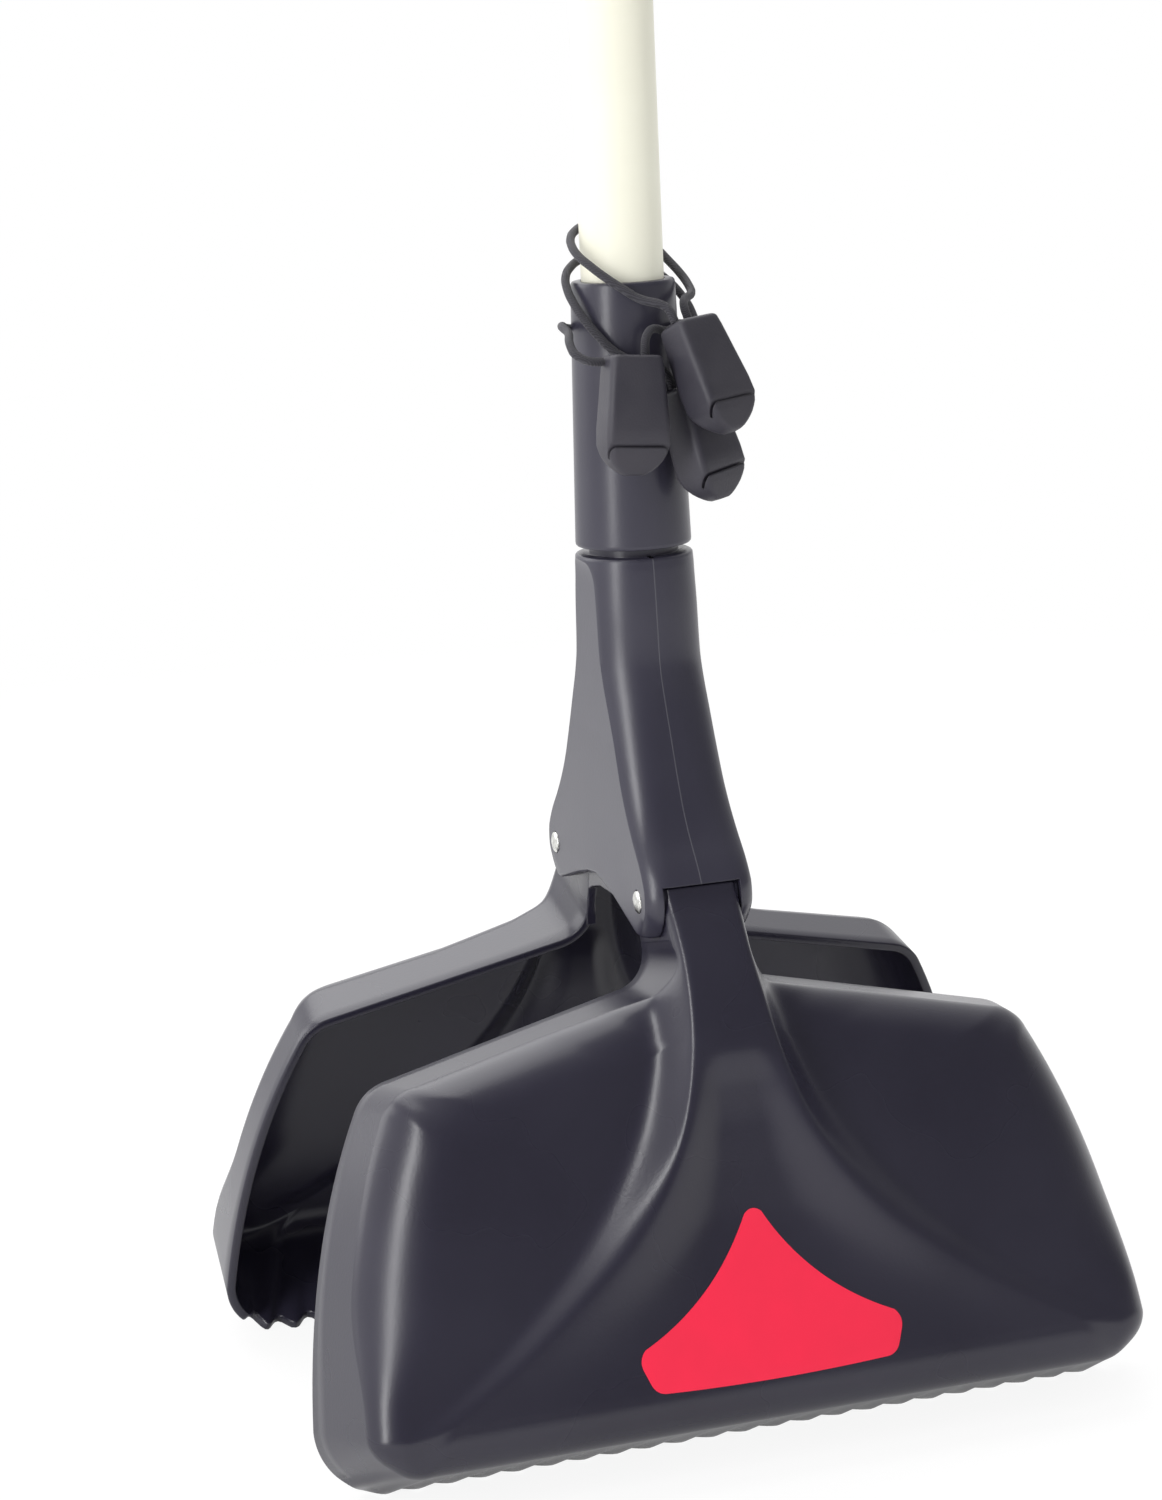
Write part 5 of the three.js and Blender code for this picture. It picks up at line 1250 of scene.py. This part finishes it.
def pullBarMesh():
    base = grip["base"] + grip["floor"] + pullBar["rest"]
    wide, high, halfX, stem = [pullBar[key] for key in ("halfWidth", "height", "halfX", "stem")]
    loop = roundedLoop(rightAndLeft([(wide, base), (wide, base + high)]), [pullBar["corner"]] * 4)
    bar = cushionPlate("pullBarGrip", loop, -halfX, halfX, pullBar["rounding"])
    foot, reach = base - pullBar["stemLength"], pullBar["pinReach"]
    shaped(bar, [levelBlock(-stem, stem, -stem, stem, foot, base + high / 2)], "UNION")
    radius, rise, sides = pullBar["rodBore"]
    shaped(bar, [roundBar(radius, (0, 0, foot - shaping["past"]), (0, 0, foot + rise), sides)])
    radius, rise, sides = pullBar["pinBore"]
    shaped(bar, [roundBar(radius, (-reach, 0, foot + rise), (reach, 0, foot + rise), sides)])
    softShade(bar, grip["sharpFrom"])
    return bar


finished(pullBarMesh(), gripPlastic, "puller", "black_plastic", "pull_bar")


def screwMesh(name, y, z):
    top, long, radius, wide, dome = [screw[key] for key in ("top", "long", "radius", "head", "dome")]
    under, (reach, half, deep) = top - screw["headHeight"], screw["cross"]
    tipIn, tipUp = screw["tip"]
    shank = [(0, top - long), (radius - tipIn, top - long), (radius, top - long + tipUp)]
    shank += [(radius, under), (wide, under)]
    head = [(wide * math.cos(a), top - dome + dome * math.sin(a)) for a in quarterTurn(screw["domeSteps"])[:-1]]
    piece = turned(name, shank + head + [(0, top)], screw["sides"])
    for turn in (0, math.pi / 2):  # the cross recess
        slotBlock = levelBlock(-reach, reach, -half, half, top - deep, top + 1)
        slotBlock.data.transform(Matrix.Rotation(turn + screw["turn"], 4, "Z"))
        shaped(piece, [slotBlock])
    piece.data.transform(movedTo(0, y, z) @ Matrix.Rotation(math.pi / 2, 4, "Y"))
    softShade(piece, screw["sharpFrom"])
    return piece


for number, (y, z) in enumerate(screw["places"], 1):
    finished(screwMesh(f"handleScrew{number}", y, z), brightZinc, "pole", "steel", f"handle_screw_{number}")
print("handle built")

# CAD nodes that keep their shape
slots = {part["node"]: part["material_slot"] for part in frame["record"]["subparts"]}
kept = {
    "black_plastic": gripPlastic, "soft_black": clipRubber, "elastic": loopElastic, "cream_metal": creamPaint,
    "steel": brightZinc,
}
for name, node in frame["nodes"].items():
    node.data.materials.clear()
    node.data.materials.append(kept[slots[name]])

# studio: plain level light, a white floor and backdrop, and a darker room in front of the object
lights = {
    "top": {"place": (-0.1, 0.75, 1.65), "aim": (0, 0, 0.12), "size": (1.5, 2.0), "power": 26},
    "left": {"place": (-0.95, -0.6, 0.56), "aim": (0, 0, 0.2), "size": (0.2, 1.1), "power": 8.4},
    "backLeft": {"place": (-1.7, 1.2, 0.9), "aim": (0, 0, 0.15), "size": (1.1, 1.3), "power": 10},
}
room = {  # how bright each side of the room is, for mirrored rays and for the rest
    "mirrored": {"low": 0.2, "high": 1.25, "towards": (-0.5, 0.86, 0.0)},
    "fill": {"low": 0.14, "high": 0.76, "towards": (0.95, -0.3, 0.0)},
    "turn": (-0.55, 0.6),
}
floorLook = {
    "half": 30, "colour": (0.9, 0.9, 0.9), "lift": 0.9, "shade": 0.13, "mirrorLift": 0.4, "mirrorShade": 0.6,
    "whiteFrom": 0.45, "whiteTo": 1.1,
}


def areaLight(name, settings):
    data = bpy.data.lights.new(name, "AREA")
    data.shape = "RECTANGLE"
    data.size, data.size_y = settings["size"]
    data.energy = settings["power"]
    lamp = bpy.data.objects.new(name, data)
    way = Vector(settings["aim"]) - Vector(settings["place"])
    lamp.matrix_world = Matrix.Translation(settings["place"]) @ way.to_track_quat("-Z", "Y").to_matrix().to_4x4()
    lamp.visible_camera = False
    studio.objects.link(lamp)


for name, settings in lights.items():
    areaLight(name + "Softbox", settings)


def mixedShaders(tree, factor, first, second):
    node = tree.nodes.new("ShaderNodeMixShader")
    for socket, value in zip(node.inputs, (factor, first, second)):
        tree.links.new(value, socket)
    return node.outputs[0]


def kindsOfRay(tree):
    # mirrored rays, with those seen through something clear, and camera rays
    path = tree.nodes.new("ShaderNodeLightPath").outputs
    return mathNode(tree, "MAXIMUM", path["Is Glossy Ray"], path["Is Transmission Ray"]), path["Is Camera Ray"]


def buildRoom():
    world = bpy.data.worlds.new("studioRoom")
    bpy.context.scene.world = world
    world.use_nodes = True
    tree = world.node_tree
    tree.nodes["Background"].inputs["Color"].default_value = (1, 1, 1, 1)  # what the camera sees
    way = tree.nodes.new("ShaderNodeTexCoord").outputs["Generated"]

    def side(settings):
        facing = tree.nodes.new("ShaderNodeVectorMath")
        facing.operation = "DOT_PRODUCT"
        facing.inputs[1].default_value = settings["towards"]
        tree.links.new(way, facing.inputs[0])
        shade = addNode(tree, "ShaderNodeBackground", Color=(1, 1, 1, 1))
        level = spread(tree, facing.outputs["Value"], settings["low"], settings["high"], *room["turn"])
        tree.links.new(level, shade.inputs["Strength"])
        return shade.outputs[0]

    mirrorRay, cameraRay = kindsOfRay(tree)
    seen = mixedShaders(tree, mirrorRay, side(room["fill"]), side(room["mirrored"]))
    seen = mixedShaders(tree, cameraRay, seen, tree.nodes["Background"].outputs[0])
    tree.links.new(seen, tree.nodes["World Output"].inputs["Surface"])


def buildFloor():
    half = floorLook["half"] / mm
    corners = [(-half, -half, 0), (half, -half, 0), (half, half, 0), (-half, half, 0)]
    floor = pieceFrom("studioFloor", corners, [(0, 1, 2, 3)])
    material, tree, shader, place = newMaterial("floorWhite")
    tree.nodes.remove(shader)
    away = tree.nodes.new("ShaderNodeVectorMath")
    away.operation = "LENGTH"
    tree.links.new(place, away.inputs[0])
    seen = addNode(tree, "ShaderNodeBsdfDiffuse", Color=(*floorLook["colour"], 1)).outputs[0]
    white = addNode(tree, "ShaderNodeEmission", Color=(1, 1, 1, 1), Strength=1.0)
    far = spread(tree, away.outputs["Value"], 0, 1, floorLook["whiteFrom"], floorLook["whiteTo"])
    for ray, shade, lift in zip(kindsOfRay(tree), ("mirrorShade", "shade"), ("mirrorLift", "lift")):
        pale = addNode(tree, "ShaderNodeBsdfDiffuse", Color=(*[floorLook[shade]] * 3, 1))
        glow = addNode(tree, "ShaderNodeEmission", Color=(1, 1, 1, 1), Strength=floorLook[lift])
        lifted = tree.nodes.new("ShaderNodeAddShader")
        tree.links.new(pale.outputs[0], lifted.inputs[0])
        tree.links.new(glow.outputs[0], lifted.inputs[1])
        seen = mixedShaders(tree, ray, seen, mixedShaders(tree, far, lifted.outputs[0], white.outputs[0]))
    tree.links.new(seen, tree.nodes["Material Output"].inputs["Surface"])
    floor.data.materials.append(material)


buildRoom()
buildFloor()
print("studio lit")
